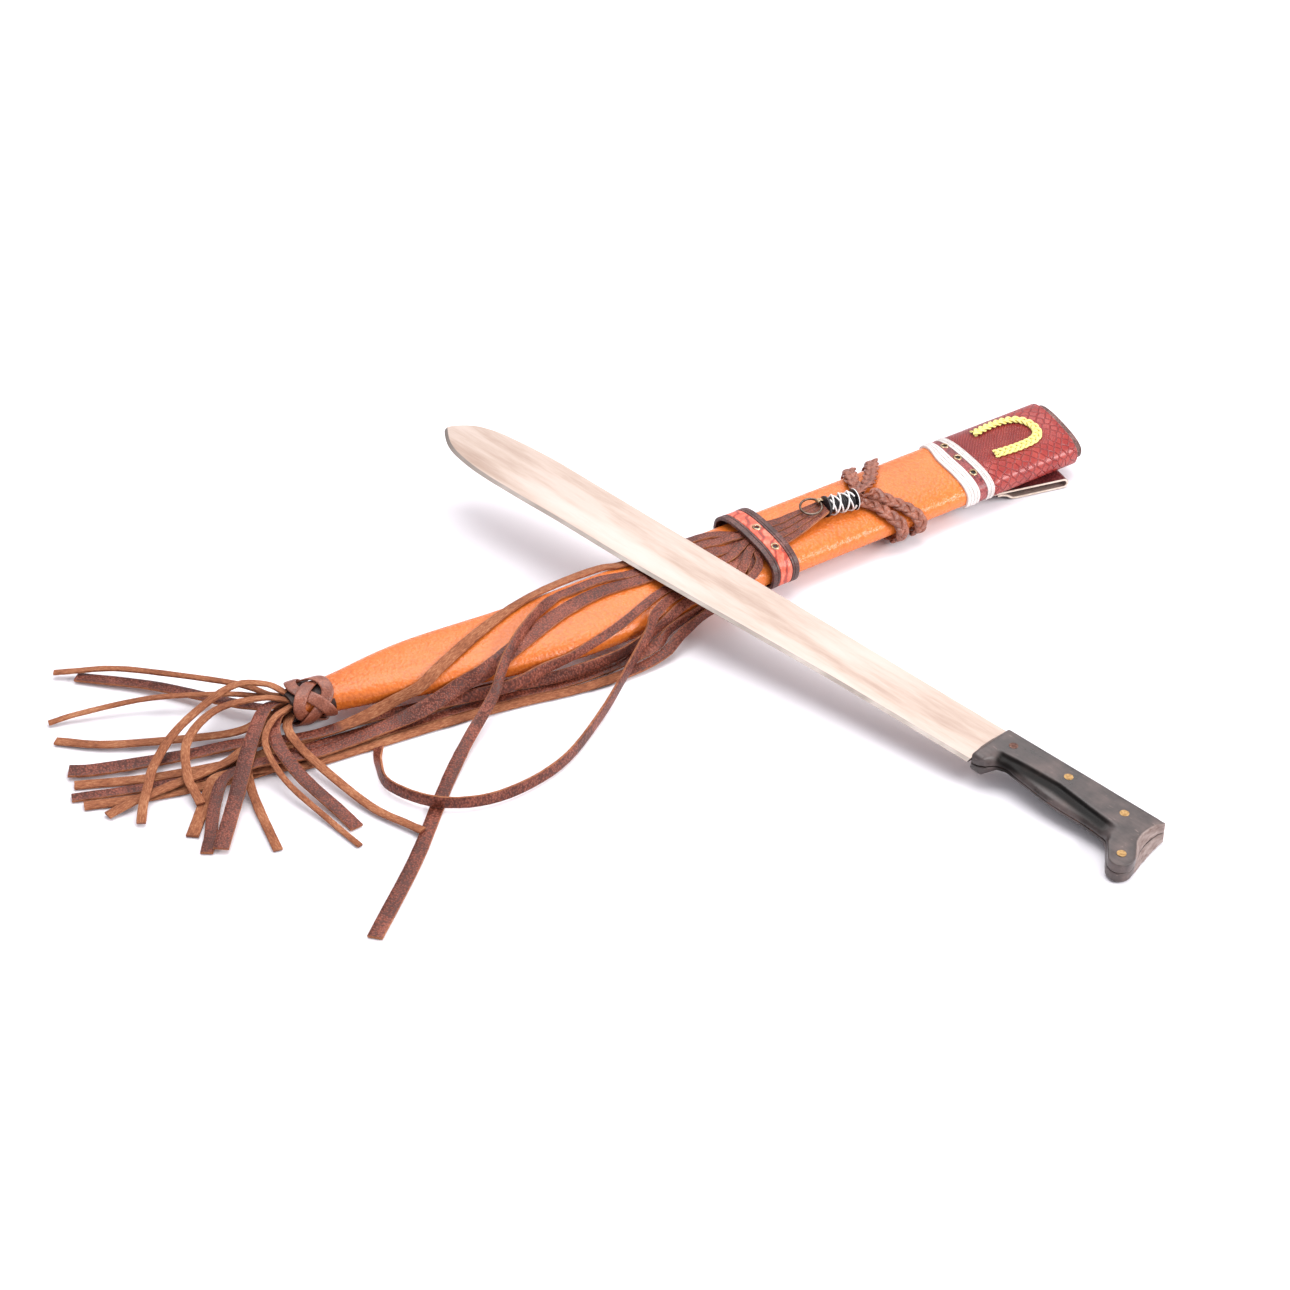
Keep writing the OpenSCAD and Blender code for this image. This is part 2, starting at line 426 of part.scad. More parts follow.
module loop_rivets() {
  color(brass) loop_place() for (y = rivet_y) translate([-58, y, 0]) {
    translate([0, 0, loop_h - 2 * loop_t - 1]) cylinder(d1 = 4.6, d2 = 6, h = 0.98);
    translate([0, 0, loop_h - 2 * loop_t - 0.5]) cylinder(d = 3, h = 2 * loop_t + 1.3);
  }
}

// Knot at the tip: one flat strand plaited in three leads and four bights
knot_half = 11.6;
knot_a = 15.7;
knot_b = 12;
knot_rise = (knot_t + 0.95) / 1.73;
function knot_pt(t) = let (f = knot_a + knot_rise * sin(8 * t / 3), g = knot_b + knot_rise * sin(8 * t / 3))
  [knot_half * cos(4 * t / 3 + 90), f * cos(t), g * sin(t)];
module tip_knot() {
  n = 108;
  P = [for (i = [0:n]) knot_pt(8 + (3 * 360 - 16) * i / n)];
  function kn(i) = let (T = unit(P[min(i + 1, n)] - P[max(i - 1, 0)]),
    N0 = unit([0, P[i][1] / knot_a, P[i][2] / knot_b]), S = unit(cross(N0, T))) [S, cross(T, S)];
  rings = [for (i = [0:n]) let (f = kn(i), s = f[0] * knot_w / 2, u = f[1] * knot_t / 2)
    [P[i] - s - u, P[i] + s - u, P[i] + s + u, P[i] - s + u]];
  echo(knot_gap = least_rings(rings, 9));
  color(leather_brown) translate([-306.5, 125.6, 14.5]) rotate([0, 0, -14.5]) skin_of(rings);
}
function mids(r) = concat(r, [(r[0] + r[1]) / 2, (r[2] + r[3]) / 2]);
function least_rings(R, far) = min([for (i = [0:len(R) - 1 - far], j = [i + far:len(R) - 1])
  norm(R[i][0] - R[j][0]) > 14 ? 14 : min([for (p = mids(R[i]), q = mids(R[j])) norm(p - q)])]);

// Wound ferrule: its axis from left disc to right disc in the scabbard's frame
module ferrule() {
  lean() translate([89.6, -1.9, 18.6]) rotate([0, 0, -8.4]) rotate([0, 90, 0]) children();
}
core_r = 3.9;
disc_t = 1.2;
wind_r = core_r + wind_d / 2 + 0.05;
lace_in = wind_r + wind_d / 2 + lace_d / 2 + 0.05;
lace_out = lace_in + lace_d + 0.45;
module ferrule_core() {
  color([0.14, 0.13, 0.13]) ferrule() {
    cylinder(r = core_r, h = ferrule_l);
    cylinder(d = ferrule_d, h = disc_t);
    translate([0, 0, ferrule_l - disc_t]) cylinder(d = ferrule_d, h = disc_t);
  }
}
wind_turns = 9;
wind_a = disc_t + wind_d * 1.5;
wind_b = ferrule_l - disc_t - wind_d * 1.5;
wind_pts = concat([[wind_r, 0, disc_t + 0.02]],
  [for (i = [0:20 * wind_turns]) let (t = i / 20 / wind_turns, a = 360 * wind_turns * t)
    [wind_r * cos(a), wind_r * sin(a), wind_a + (wind_b - wind_a) * t]],
  [[wind_r * cos(360 * wind_turns), wind_r * sin(360 * wind_turns), ferrule_l - disc_t - 0.02]]);
module ferrule_winding() {
  echo(winding_gap = least(wind_pts, wind_d, 10));
  color([0.12, 0.12, 0.12]) ferrule() cord(wind_pts, wind_d);
}
// White lacing: along the ferrule and back over itself on a wider radius
lace_turns = 3.5;
lace_a = disc_t + lace_d * 2;
lace_b = ferrule_l - disc_t - lace_d * 2;
lace_pts = concat([[lace_in, 0, disc_t + 0.02]],
  [for (i = [0:20 * lace_turns]) let (t = i / 20 / lace_turns, a = 360 * lace_turns * t)
    [lace_in * cos(a), lace_in * sin(a), lace_a + (lace_b - lace_a) * t]],
  [for (i = [1:20 * lace_turns]) let (t = i / 20 / lace_turns, a = 360 * lace_turns * (1 + t),
    r = lace_in + (lace_out - lace_in) * min(1, i / 4))
    [r * cos(a), r * sin(a), lace_b + (lace_a - lace_b) * t]],
  [[lace_out * cos(720 * lace_turns), lace_out * sin(720 * lace_turns), disc_t + 0.02]]);
module ferrule_lacing() {
  echo(lacing_gap = least(lace_pts, lace_d, 6));
  color("white") ferrule() cord(lace_pts, lace_d);
}

// Ring and its tab: the tab's eye is the hinge
eye_r = wire_d / 2 + 0.3;
tab_w = 3.2;
tab_h = 22.3;
module tab_place() { lean() translate([86.1, 1.65, tab_h]) rotate([0, 0, 8]) children(); }
module ring_tab() {
  color(brass) tab_place() difference() {
    union() {
      rotate([90, 0, 0]) translate([0, 0, -tab_w / 2]) cylinder(r = eye_r + 0.6, h = tab_w);
      translate([eye_r + 0.2, -tab_w / 2, -0.6]) cube([3.3 - eye_r, tab_w, 1.2]);
    }
    rotate([90, 0, 0]) translate([0, 0, -tab_w]) cylinder(r = eye_r, h = 2 * tab_w);
  }
}
module ring() {
  color([0.70, 0.66, 0.60]) tab_place() rotate([0, -8, 0])
    translate([-(ring_d - wire_d) / 2, 0, 0])
      rotate_extrude($fn = 64) translate([(ring_d - wire_d) / 2, 0]) circle(d = wire_d, $fn = 24);
}

// Keeper: a strap round scabbard and thongs, loose enough to slide
keeper_x = 21.5;
keeper_a = sheath_w / 2 + 2.2;
keeper_top = sheath_h / 2 + 2 * thong_t + 1.3;
keeper_b = (keeper_top + sheath_h / 2 + 0.8) / 2;
keeper_up = keeper_top - keeper_b;
module hoop(x0, x1, g0, g1) {
  lean() translate([0, 0, keeper_up]) along(x0, x1) difference() {
    polygon(oval(keeper_a + g1, keeper_b + g1));
    polygon(oval(keeper_a + g0, keeper_b + g0));
  }
}
keeper_u = [4, -17.5];
module keeper_hole(u) {
  a = keeper_a + keeper_t;
  b = keeper_b + keeper_t;
  lean() translate([keeper_x + keeper_w / 2 + 0.8, u, oval_w(a, b, u) + keeper_up])
    rotate([-oval_a(a, b, u), 0, 0]) children();
}
module keeper_strap() {
  color(leather_dark) difference() {
    union() {
      hoop(keeper_x, keeper_x + keeper_w, 0, keeper_t);
      hoop(keeper_x, keeper_x + keeper_trim_w, keeper_t, keeper_t + keeper_trim_t);
      hoop(keeper_x + keeper_w - keeper_trim_w, keeper_x + keeper_w, keeper_t,
        keeper_t + keeper_trim_t);
    }
    for (u = keeper_u) keeper_hole(u) translate([0, 0, -4]) cylinder(d = 3.4, h = 8);
  }
}
inlay_t = 0.8;
module keeper_inlay() {
  color([0.85, 0.38, 0.28]) difference() {
    hoop(keeper_x + keeper_trim_w + fit, keeper_x + keeper_w - keeper_trim_w - fit,
      keeper_t + 0.02, keeper_t + 0.02 + inlay_t);
    for (u = keeper_u) keeper_hole(u) translate([0, 0, -4]) cylinder(d = 3.4, h = 8);
  }
}
module keeper_eyelets() {
  color(brass) for (u = keeper_u) keeper_hole(u) rotate_extrude() {
    translate([1.25, -1.3]) square([0.4, inlay_t + 2]);
    translate([1.3, inlay_t + 0.1]) square([1.2, 0.3]);
    translate([2.15, inlay_t + 0.4]) circle(r = 0.4, $fn = 24);
  }
}

// Machete: handle front on the spine is the origin, x runs to the point, y to the edge
rest_l = 131;
cross_l = 286;
cross_z = sheath_z + reach(sheath_w / 2, sheath_h / 2, sheath_roll) + thong_t + blade_t / 2 + 0.77;
tilt = asin((cross_z - handle_t / 2) / (cross_l + rest_l));
module machete() {
  translate([34.4, -172, handle_t / 2 / cos(tilt) + rest_l * sin(tilt)])
    rotate([0, 0, 99.7]) rotate([0, -tilt, 0]) children();
}
// Along the blade, spine and edge
blade_form = [[0, 0, 42], [60, 0, 42.7], [120, 0, 43.8], [200, 0, 47], [250, 0, 49], [300, 0, 50.5],
  [359, 0, 51], [398, 0, 52.2], [411, 0, 52.4], [431, 1.1, 52.6], [450, 2.9, 51.6],
  [468, 5.5, 48.7], [478, 8.6, 45.4], [485, 12, 41.8], [491, 17, 37.6], [496, 23.5, 33.6]];
handle_line = concat([[-0.2, 0.6], [2.3, 16], [2, 27], [-1.4, 41], [-7.8, 40.5]],
  run([[-11.4, 38], [-15, 32.6], [-21.6, 29.9], [-30, 31.5], [-41, 33], [-57, 35.3], [-70, 36],
    [-86, 35.8], [-102, 37.2], [-108.4, 39.8], [-118.3, 52.6], [-121.5, 56], [-126.5, 57.8],
    [-131.4, 55.9], [-134.2, 49.9], [-132.5, 42.4], [-127.2, 34.4], [-123.8, 28.6],
    [-122, 19.3], [-122.5, 8]], 2), [[-125.5, 5.5], [-126, 2.6]]);
pins = [[-14.6, 14.8], [-57.5, 13.2], [-102.7, 15.2], [-124.6, 47]];
// Offsets of a closed outline towards its inside
function inset(P, d) = [for (i = [0:len(P) - 1]) let (n = len(P), a = P[(i + n - 1) % n],
  b = P[(i + 1) % n], t = unit(b - a)) P[i] + [t[1], -t[0]] * d];
module pin_holes() {
  for (p = pins) translate([p[0], p[1], -20]) cylinder(d = pin_d + 0.06, h = 40);
}
module blade() {
  k = blade_l / 498;
  h = blade_t / 2;
  b = bevel_w;
  rows = concat([for (f = blade_form) [f[0] * k, f[1], f[2]]], [[blade_l, 28.4, 31]]);
  color([0.92, 0.90, 0.88]) machete() difference() {
    union() {
      skin_of([for (f = rows) let (e = min(b, (f[2] - f[1]) / 2), z = h - 0.8 * h)
        [[f[0], f[1], -h], [f[0], f[2] - e, -h], [f[0], f[2], -z], [f[0], f[2], z],
         [f[0], f[2] - e, h], [f[0], f[1], h]]]);
      translate([0, 0, -h]) linear_extrude(blade_t) polygon(inset(handle_line, 0.4));
    }
    pin_holes();
  }
}
// One handle scale: thin at the front, round at the spine, hollowed along the fingers
module scale() {
  h = blade_t / 2;
  t = handle_t / 2 - h;
  r = 5;
  difference() {
    translate([0, 0, h]) linear_extrude(t) polygon(handle_line);
    // ramp at the front
    translate([2.6, -5, h + 1.8]) rotate([0, -64, 0]) translate([0, 0, 0]) cube([16, 60, 12]);
    // round spine
    difference() {
      translate([-124, -4, handle_t / 2 - r]) cube([130, 4 + r + 0.7, r + 1]);
      translate([-130, r + 0.7, handle_t / 2 - r]) rotate([0, 90, 0]) cylinder(r = r, h = 140);
    }
    // hollow along the finger side
    intersection() {
      translate([-60, 24.6, handle_t / 2]) rotate([0, 0, -2.4]) rotate([-scoop, 0, 0])
        translate([-60, 0, 0]) cube([120, 30, 8]);
      translate([-107, 10, -1]) cube([97, 40, 20]);
    }
    pin_holes();
  }
}
module scale_upper() { color([0.30, 0.27, 0.27]) machete() scale(); }
module scale_lower() { color([0.30, 0.27, 0.27]) machete() mirror([0, 0, 1]) scale(); }
module handle_pins() {
  color(brass) machete() for (p = pins) translate([p[0], p[1], -handle_t / 2])
    cylinder(d = pin_d, h = handle_t);
}

module thong(P) { color(leather_brown) strap(P); }
sheath_leather();
sheath_lining();
collar();
horseshoe();
strip_low();
strip_high();
eyelet_band();
band_eyelets();
belt_loop();
loop_pad();
loop_rivets();
tip_knot();
ferrule_core();
ferrule_winding();
ferrule_lacing();
ring_tab();
ring();
color(leather_brown) braid(braid_inner_route);  // braid_inner
color(leather_brown) braid(braid_outer_route);  // braid_outer
keeper_strap();
keeper_inlay();
keeper_eyelets();
blade();
scale_upper();
scale_lower();
handle_pins();
thong(thong_1_route);  // thong_1
thong(thong_3_route);  // thong_3
thong(thong_4_route);  // thong_4
thong(thong_5_route);  // thong_5
thong(thong_6_route);  // thong_6
thong(thong_8_route);  // thong_8
thong(thong_9_route);  // thong_9
thong(thong_10_route);  // thong_10
thong(fringe_1_route);  // fringe_1
thong(fringe_2_route);  // fringe_2
thong(fringe_3_route);  // fringe_3
thong(fringe_4_route);  // fringe_4
thong(fringe_9_route);  // fringe_9
thong(fringe_10_route);  // fringe_10
thong(fringe_11_route);  // fringe_11
thong(fringe_14_route);  // fringe_14
thong(fringe_15_route);  // fringe_15
thong(fringe_16_route);  // fringe_16
thong(fringe_17_route);  // fringe_17
thong(fringe_18_route);  // fringe_18
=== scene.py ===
import math
import random
import bmesh
import bpy
from mathutils import Matrix, Vector


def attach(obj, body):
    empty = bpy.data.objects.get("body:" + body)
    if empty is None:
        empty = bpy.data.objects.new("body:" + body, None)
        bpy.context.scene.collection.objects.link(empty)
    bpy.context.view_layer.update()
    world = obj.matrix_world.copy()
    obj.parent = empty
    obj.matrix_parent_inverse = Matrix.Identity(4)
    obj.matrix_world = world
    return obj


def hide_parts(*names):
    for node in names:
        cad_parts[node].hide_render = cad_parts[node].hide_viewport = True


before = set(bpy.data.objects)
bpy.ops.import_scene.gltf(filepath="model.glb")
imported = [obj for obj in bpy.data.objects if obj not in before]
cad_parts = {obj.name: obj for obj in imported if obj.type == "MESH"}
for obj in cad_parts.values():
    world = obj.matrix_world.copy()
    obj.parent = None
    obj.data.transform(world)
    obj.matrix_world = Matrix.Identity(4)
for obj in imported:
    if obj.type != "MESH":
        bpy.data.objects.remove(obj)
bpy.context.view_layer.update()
random.seed(11)
print("frame loaded:", len(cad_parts), "nodes")

# every size below is in millimetres; mm() turns a point to metres
studio = {
    "camera": (-1067, -1296.5, 1136), "lookAt": (-79.5, 67, 0), "lens": 83.72,
    "floor": 9000, "skyLight": 0.74, "keyLight": 52, "cardLight": 9, "frontLight": 30,
}


def mm(point):
    return Vector(point) * 0.001


def ease(t):  # 0 to 1, slow at both ends
    t = min(1, max(0, t))
    return t * t * (3 - 2 * t)


def deselectAll():
    if bpy.context.object and bpy.context.object.mode != "OBJECT":
        bpy.ops.object.mode_set(mode="OBJECT")
    bpy.ops.object.select_all(action="DESELECT")


def pickOnly(piece):
    deselectAll()
    piece.select_set(True)
    bpy.context.view_layer.objects.active = piece


def closeUp(piece, merge=0):  # merges doubled points and turns every face outwards
    pickOnly(piece)
    bpy.ops.object.mode_set(mode="EDIT")
    bpy.ops.mesh.select_all(action="SELECT")
    if merge:
        bpy.ops.mesh.remove_doubles(threshold=merge * 0.001)
    bpy.ops.mesh.normals_make_consistent(inside=False)
    bpy.ops.object.mode_set(mode="OBJECT")


def circleThrough(name, points, fill="NOTHING"):  # a circle moved onto these points, ready to be extruded
    deselectAll()
    bpy.ops.mesh.primitive_circle_add(vertices=len(points), radius=0.01, fill_type=fill)
    piece = bpy.context.object
    piece.name = piece.data.name = name
    for vertex, point in zip(piece.data.vertices, points):
        vertex.co = mm(point)
    bpy.ops.object.mode_set(mode="EDIT")
    bpy.ops.mesh.select_all(action="SELECT")
    return piece


def markPoints(piece, name, values):  # a number on each point, for the materials to read
    layer = piece.data.attributes.new(name, "FLOAT", "POINT")
    layer.data.foreach_set("value", values)


def applyModifier(piece, kind, name, **settings):
    modifier = piece.modifiers.new(name, kind)
    for setting, value in settings.items():
        setattr(modifier, setting, value)
    pickOnly(piece)
    bpy.ops.object.modifier_apply(modifier=name)


eye = mm(studio["camera"])
gaze = mm(studio["lookAt"]) - eye
deselectAll()
bpy.ops.object.camera_add(location=eye, rotation=gaze.to_track_quat("-Z", "Y").to_euler())
camera = bpy.context.object
camera.data.sensor_width = 36
camera.data.lens = studio["lens"]
camera.data.clip_end = 30
bpy.context.scene.camera = camera


def paint(text):  # sRGB hex to linear colour
    parts = [int(text[i:i + 2], 16) / 255 for i in (1, 3, 5)]
    return [c / 12.92 if c <= 0.04045 else ((c + 0.055) / 1.055) ** 2.4 for c in parts] + [1]


def every(size):  # pattern scale for one repeat each so many millimetres
    return 1000 / size


def addNode(tree, kind, settings, links):
    node = tree.nodes.new("ShaderNode" + kind)
    for name, value in settings.items():
        if name == "stops":  # colour ramp: place and colour
            while len(node.color_ramp.elements) < len(value):
                node.color_ramp.elements.new(0.5)
            for stop, (place, colour) in zip(node.color_ramp.elements, value):
                stop.position = place
                stop.color = paint(colour)
        else:
            setattr(node, name, value)
    for socket, value in links.items():
        if isinstance(value, bpy.types.NodeSocket):
            tree.links.new(value, node.inputs[socket])
        else:
            node.inputs[socket].default_value = value
    return node


def newMaterial(name, **sockets):
    material = bpy.data.materials.new(name)
    material.use_nodes = True
    tree = material.node_tree
    shader = tree.nodes["Principled BSDF"]
    for socket, value in sockets.items():
        shader.inputs[socket.replace("_", " ")].default_value = value
    return material, tree, shader


def feed(tree, shader, **sources):  # links nodes to the surface's sockets
    for socket, source in sources.items():
        tree.links.new(source, shader.inputs[socket.replace("_", " ")])


def makeThongLeather(name, grain, flesh):
    # latigo thong: pigmented, pebbled grain side; raw, fibrous flesh side and cut edges
    material, tree, shader = newMaterial(name, Specular_IOR_Level=0.35)
    along = addNode(tree, "UVMap", {"uv_map": "along"}, {}).outputs[0]
    place = addNode(tree, "TexCoord", {}, {}).outputs["Object"]
    side = addNode(tree, "Attribute", {"attribute_name": "grain"}, {}).outputs["Fac"]
    # pebbles of 1.3 mm, a little coarser than real so that they show
    pebble = addNode(tree, "TexVoronoi", {"feature": "F1"}, {"Vector": along, "Scale": every(1.3)})
    blotch = addNode(tree, "TexNoise", {}, {"Vector": place, "Scale": every(22), "Detail": 4})
    fine = addNode(tree, "TexNoise", {}, {"Vector": along, "Scale": every(0.8), "Detail": 3})
    stretched = addNode(tree, "Mapping", {}, {"Vector": along, "Scale": (1, 0.22, 1)})
    fibre = addNode(tree, "TexNoise", {},
                    {"Vector": stretched.outputs[0], "Scale": every(0.9), "Detail": 5, "Roughness": 0.7})
    # the grain's tone rises on the pebble domes up to the palest stop: painted highlights on the pebbles,
    # over the leather's real blotches and fine grain
    tone = addNode(tree, "Math", {"operation": "MULTIPLY_ADD"}, {0: blotch.outputs["Fac"], 1: 0.7, 2: 0.0})
    tone = addNode(tree, "Math", {"operation": "MULTIPLY_ADD"},
                   {0: pebble.outputs["Distance"], 1: -0.45, 2: tone.outputs[0]})
    tone = addNode(tree, "Math", {"operation": "MULTIPLY_ADD"},
                   {0: fine.outputs["Fac"], 1: 0.45, 2: tone.outputs[0]})
    grainColour = addNode(tree, "ValToRGB", {"stops": grain}, {0: tone.outputs[0]})
    fibreTone = addNode(tree, "Math", {"operation": "MULTIPLY_ADD"},
                        {0: blotch.outputs["Fac"], 1: 0.5, 2: -0.25})
    fibreTone = addNode(tree, "Math", {"operation": "ADD"},
                        {0: fibre.outputs["Fac"], 1: fibreTone.outputs[0]})
    fleshColour = addNode(tree, "ValToRGB", {"stops": flesh}, {0: fibreTone.outputs[0]})
    colour = addNode(tree, "Mix", {"data_type": "RGBA"},
                     {0: side, 6: fleshColour.outputs[0], 7: grainColour.outputs[0]})
    gloss = addNode(tree, "MapRange", {}, {0: side, 3: 0.85, 4: 0.42})
    domes = addNode(tree, "MapRange", {}, {0: pebble.outputs["Distance"], 1: 0.1, 2: 0.6, 3: 1, 4: 0})
    height = addNode(tree, "Mix", {"data_type": "FLOAT"},
                     {0: side, 2: fibre.outputs["Fac"], 3: domes.outputs[0]})
    bump = addNode(tree, "Bump", {}, {"Strength": 0.6, "Distance": 0.0004, "Height": height.outputs[0]})
    feed(tree, shader, Base_Color=colour.outputs[2], Roughness=gloss.outputs[0], Normal=bump.outputs[0])
    return material


def makeScabbardHide():
    # drum-dyed cowhide, finished with a pigment coat: even orange, fine pebble, satin gloss
    material, tree, shader = newMaterial("orange finished cowhide", Roughness=0.4)
    place = addNode(tree, "TexCoord", {}, {}).outputs["Object"]
    pebble = addNode(tree, "TexVoronoi", {"feature": "SMOOTH_F1"},
                     {"Vector": place, "Scale": every(2.3), "Smoothness": 0.4})
    crease = addNode(tree, "TexNoise", {},
                     {"Vector": place, "Scale": every(3), "Detail": 6, "Roughness": 0.65})
    cloud = addNode(tree, "TexNoise", {}, {"Vector": place, "Scale": every(60), "Detail": 3})
    tone = addNode(tree, "Math", {"operation": "MULTIPLY_ADD"}, {0: cloud.outputs["Fac"], 1: 0.2, 2: 0.28})
    tone = addNode(tree, "Math", {"operation": "MULTIPLY_ADD"},
                   {0: crease.outputs["Fac"], 1: 0.2, 2: tone.outputs[0]})
    tone = addNode(tree, "Math", {"operation": "MULTIPLY_ADD"},
                   {0: pebble.outputs["Distance"], 1: -0.16, 2: tone.outputs[0]})
    colour = addNode(tree, "ValToRGB", {"stops": [(0.2, "#b55320"), (0.42, "#da732d"), (0.7, "#e9873e")]},
                     {0: tone.outputs[0]})
    height = addNode(tree, "Math", {"operation": "MULTIPLY_ADD"},
                     {0: pebble.outputs["Distance"], 1: -0.8, 2: crease.outputs["Fac"]})
    bump = addNode(tree, "Bump", {}, {"Strength": 0.9, "Distance": 0.00045, "Height": height.outputs[0]})
    shine = addNode(tree, "MapRange", {}, {0: crease.outputs["Fac"], 1: 0.3, 2: 0.7, 3: 0.16, 4: 0.3})
    feed(tree, shader, Base_Color=colour.outputs[0], Roughness=shine.outputs[0], Normal=bump.outputs[0])
    return material


def makeScaleHide():
    # red leather embossed with reptile scales: small on the back, large towards the near side
    material, tree, shader = newMaterial("embossed red leather", Roughness=0.3)
    wrap = addNode(tree, "UVMap", {"uv_map": "along"}, {}).outputs[0]
    place = addNode(tree, "TexCoord", {}, {}).outputs["Object"]
    large = addNode(tree, "Attribute", {"attribute_name": "large"}, {}).outputs["Fac"]
    wobble = addNode(tree, "TexNoise", {}, {"Vector": wrap, "Scale": every(9), "Detail": 1})
    nudge = addNode(tree, "VectorMath", {"operation": "MULTIPLY_ADD"},
                    {0: wobble.outputs["Color"], 1: (0.0022,) * 3, 2: wrap})
    turned = addNode(tree, "Mapping", {},
                     {"Vector": nudge.outputs[0], "Rotation": (0, 0, math.radians(45))})
    small = addNode(tree, "TexVoronoi", {"feature": "DISTANCE_TO_EDGE", "voronoi_dimensions": "2D"},
                    {"Vector": turned.outputs[0], "Scale": every(1.9), "Randomness": 0.35})
    big = addNode(tree, "TexVoronoi", {"feature": "DISTANCE_TO_EDGE", "voronoi_dimensions": "2D"},
                  {"Vector": turned.outputs[0], "Scale": every(5.8), "Randomness": 0.38})
    bigCell = addNode(tree, "TexVoronoi", {"feature": "F1", "voronoi_dimensions": "2D"},
                      {"Vector": turned.outputs[0], "Scale": every(5.8), "Randomness": 0.38})
    smallDome = addNode(tree, "MapRange", {"interpolation_type": "SMOOTHSTEP"},
                        {0: small.outputs["Distance"], 1: 0.02, 2: 0.3})
    bigDome = addNode(tree, "MapRange", {"interpolation_type": "SMOOTHSTEP"},
                      {0: big.outputs["Distance"], 1: 0.0, 2: 0.16})
    dome = addNode(tree, "Mix", {"data_type": "FLOAT"},
                   {0: large, 2: smallDome.outputs[0], 3: bigDome.outputs[0]})
    cloud = addNode(tree, "TexNoise", {}, {"Vector": place, "Scale": every(14), "Detail": 4})
    # colour darker in the scales' grooves and lighter on their domes: painted shade and painted highlight;
    # the cloud adds real mottling
    mottleAndDomeShading = addNode(tree, "Math", {"operation": "MULTIPLY_ADD"}, {0: dome.outputs[0], 1: 0.32, 2: 0.12})
    mottleAndDomeShading = addNode(tree, "Math", {"operation": "MULTIPLY_ADD"},
                    {0: cloud.outputs["Fac"], 1: 0.5, 2: mottleAndDomeShading.outputs[0]})
    mottleAndDomeShading = addNode(tree, "Math", {"operation": "MULTIPLY_ADD"},
                    {0: bigCell.outputs["Distance"], 1: 0.12, 2: mottleAndDomeShading.outputs[0]})
    colour = addNode(tree, "ValToRGB",
                     {"stops": [(0.15, "#641c1c"), (0.4, "#7d2322"), (0.68, "#922c27"), (0.95, "#b04a3f")]},
                     {0: mottleAndDomeShading.outputs[0]})
    height = addNode(tree, "Math", {"operation": "MULTIPLY_ADD"},
                     {0: cloud.outputs["Fac"], 1: 0.25, 2: dome.outputs[0]})
    bump = addNode(tree, "Bump", {}, {"Strength": 0.9, "Distance": 0.0006, "Height": height.outputs[0]})
    feed(tree, shader, Base_Color=colour.outputs[0], Normal=bump.outputs[0])
    return material


def makeFlatLeather(name, stops, grit, rough, depth=0.0003, strength=0.5):
    # strap leather with a pebbled, waxed surface
    material, tree, shader = newMaterial(name, Roughness=rough)
    place = addNode(tree, "TexCoord", {}, {}).outputs["Object"]
    pebble = addNode(tree, "TexVoronoi", {"feature": "F1"}, {"Vector": place, "Scale": every(grit)})
    cloud = addNode(tree, "TexNoise", {}, {"Vector": place, "Scale": every(grit * 9), "Detail": 5})
    tone = addNode(tree, "Math", {"operation": "MULTIPLY_ADD"},
                   {0: pebble.outputs["Distance"], 1: -0.5, 2: 0.15})
    tone = addNode(tree, "Math", {"operation": "ADD"}, {0: cloud.outputs["Fac"], 1: tone.outputs[0]})
    colour = addNode(tree, "ValToRGB", {"stops": stops}, {0: tone.outputs[0]})
    bump = addNode(tree, "Bump", {"invert": True},
                   {"Strength": strength, "Distance": depth, "Height": pebble.outputs["Distance"]})
    feed(tree, shader, Base_Color=colour.outputs[0], Normal=bump.outputs[0])
    return material


def makeInlayHide():
    # red calf, hand-stained: darker slanting strokes pressed in, lighter where it is rubbed
    material, tree, shader = newMaterial("hand-stained red calf", Roughness=0.34)
    place = addNode(tree, "TexCoord", {}, {}).outputs["Object"]
    slanted = addNode(tree, "Mapping", {}, {"Vector": place, "Rotation": (0, 0, math.radians(38))})
    stroke = addNode(tree, "TexWave", {"wave_type": "BANDS", "bands_direction": "X"},
                     {"Vector": slanted.outputs[0], "Scale": every(3.14 * 9), "Distortion": 5, "Detail": 2,
                      "Detail Scale": 2})
    rubbed = addNode(tree, "TexNoise", {},
                     {"Vector": place, "Scale": every(6), "Detail": 5, "Roughness": 0.6})
    grain = addNode(tree, "TexVoronoi", {"feature": "F1"}, {"Vector": place, "Scale": every(1.3)})
    lines = addNode(tree, "MapRange", {"interpolation_type": "SMOOTHSTEP"},
                    {0: stroke.outputs["Fac"], 1: 0.0, 2: 0.3})
    tone = addNode(tree, "Math", {"operation": "MULTIPLY_ADD"}, {0: lines.outputs[0], 1: 0.3, 2: -0.12})
    tone = addNode(tree, "Math", {"operation": "MULTIPLY_ADD"},
                   {0: rubbed.outputs["Fac"], 1: 0.8, 2: tone.outputs[0]})
    colour = addNode(tree, "ValToRGB",
                     {"stops": [(0.15, "#7d2519"), (0.4, "#b8402a"), (0.56, "#d65b40"), (0.8, "#ef937b")]},
                     {0: tone.outputs[0]})
    bump = addNode(tree, "Bump", {"invert": True},
                   {"Strength": 0.5, "Distance": 0.0003, "Height": grain.outputs["Distance"]})
    feed(tree, shader, Base_Color=colour.outputs[0], Normal=bump.outputs[0])
    return material


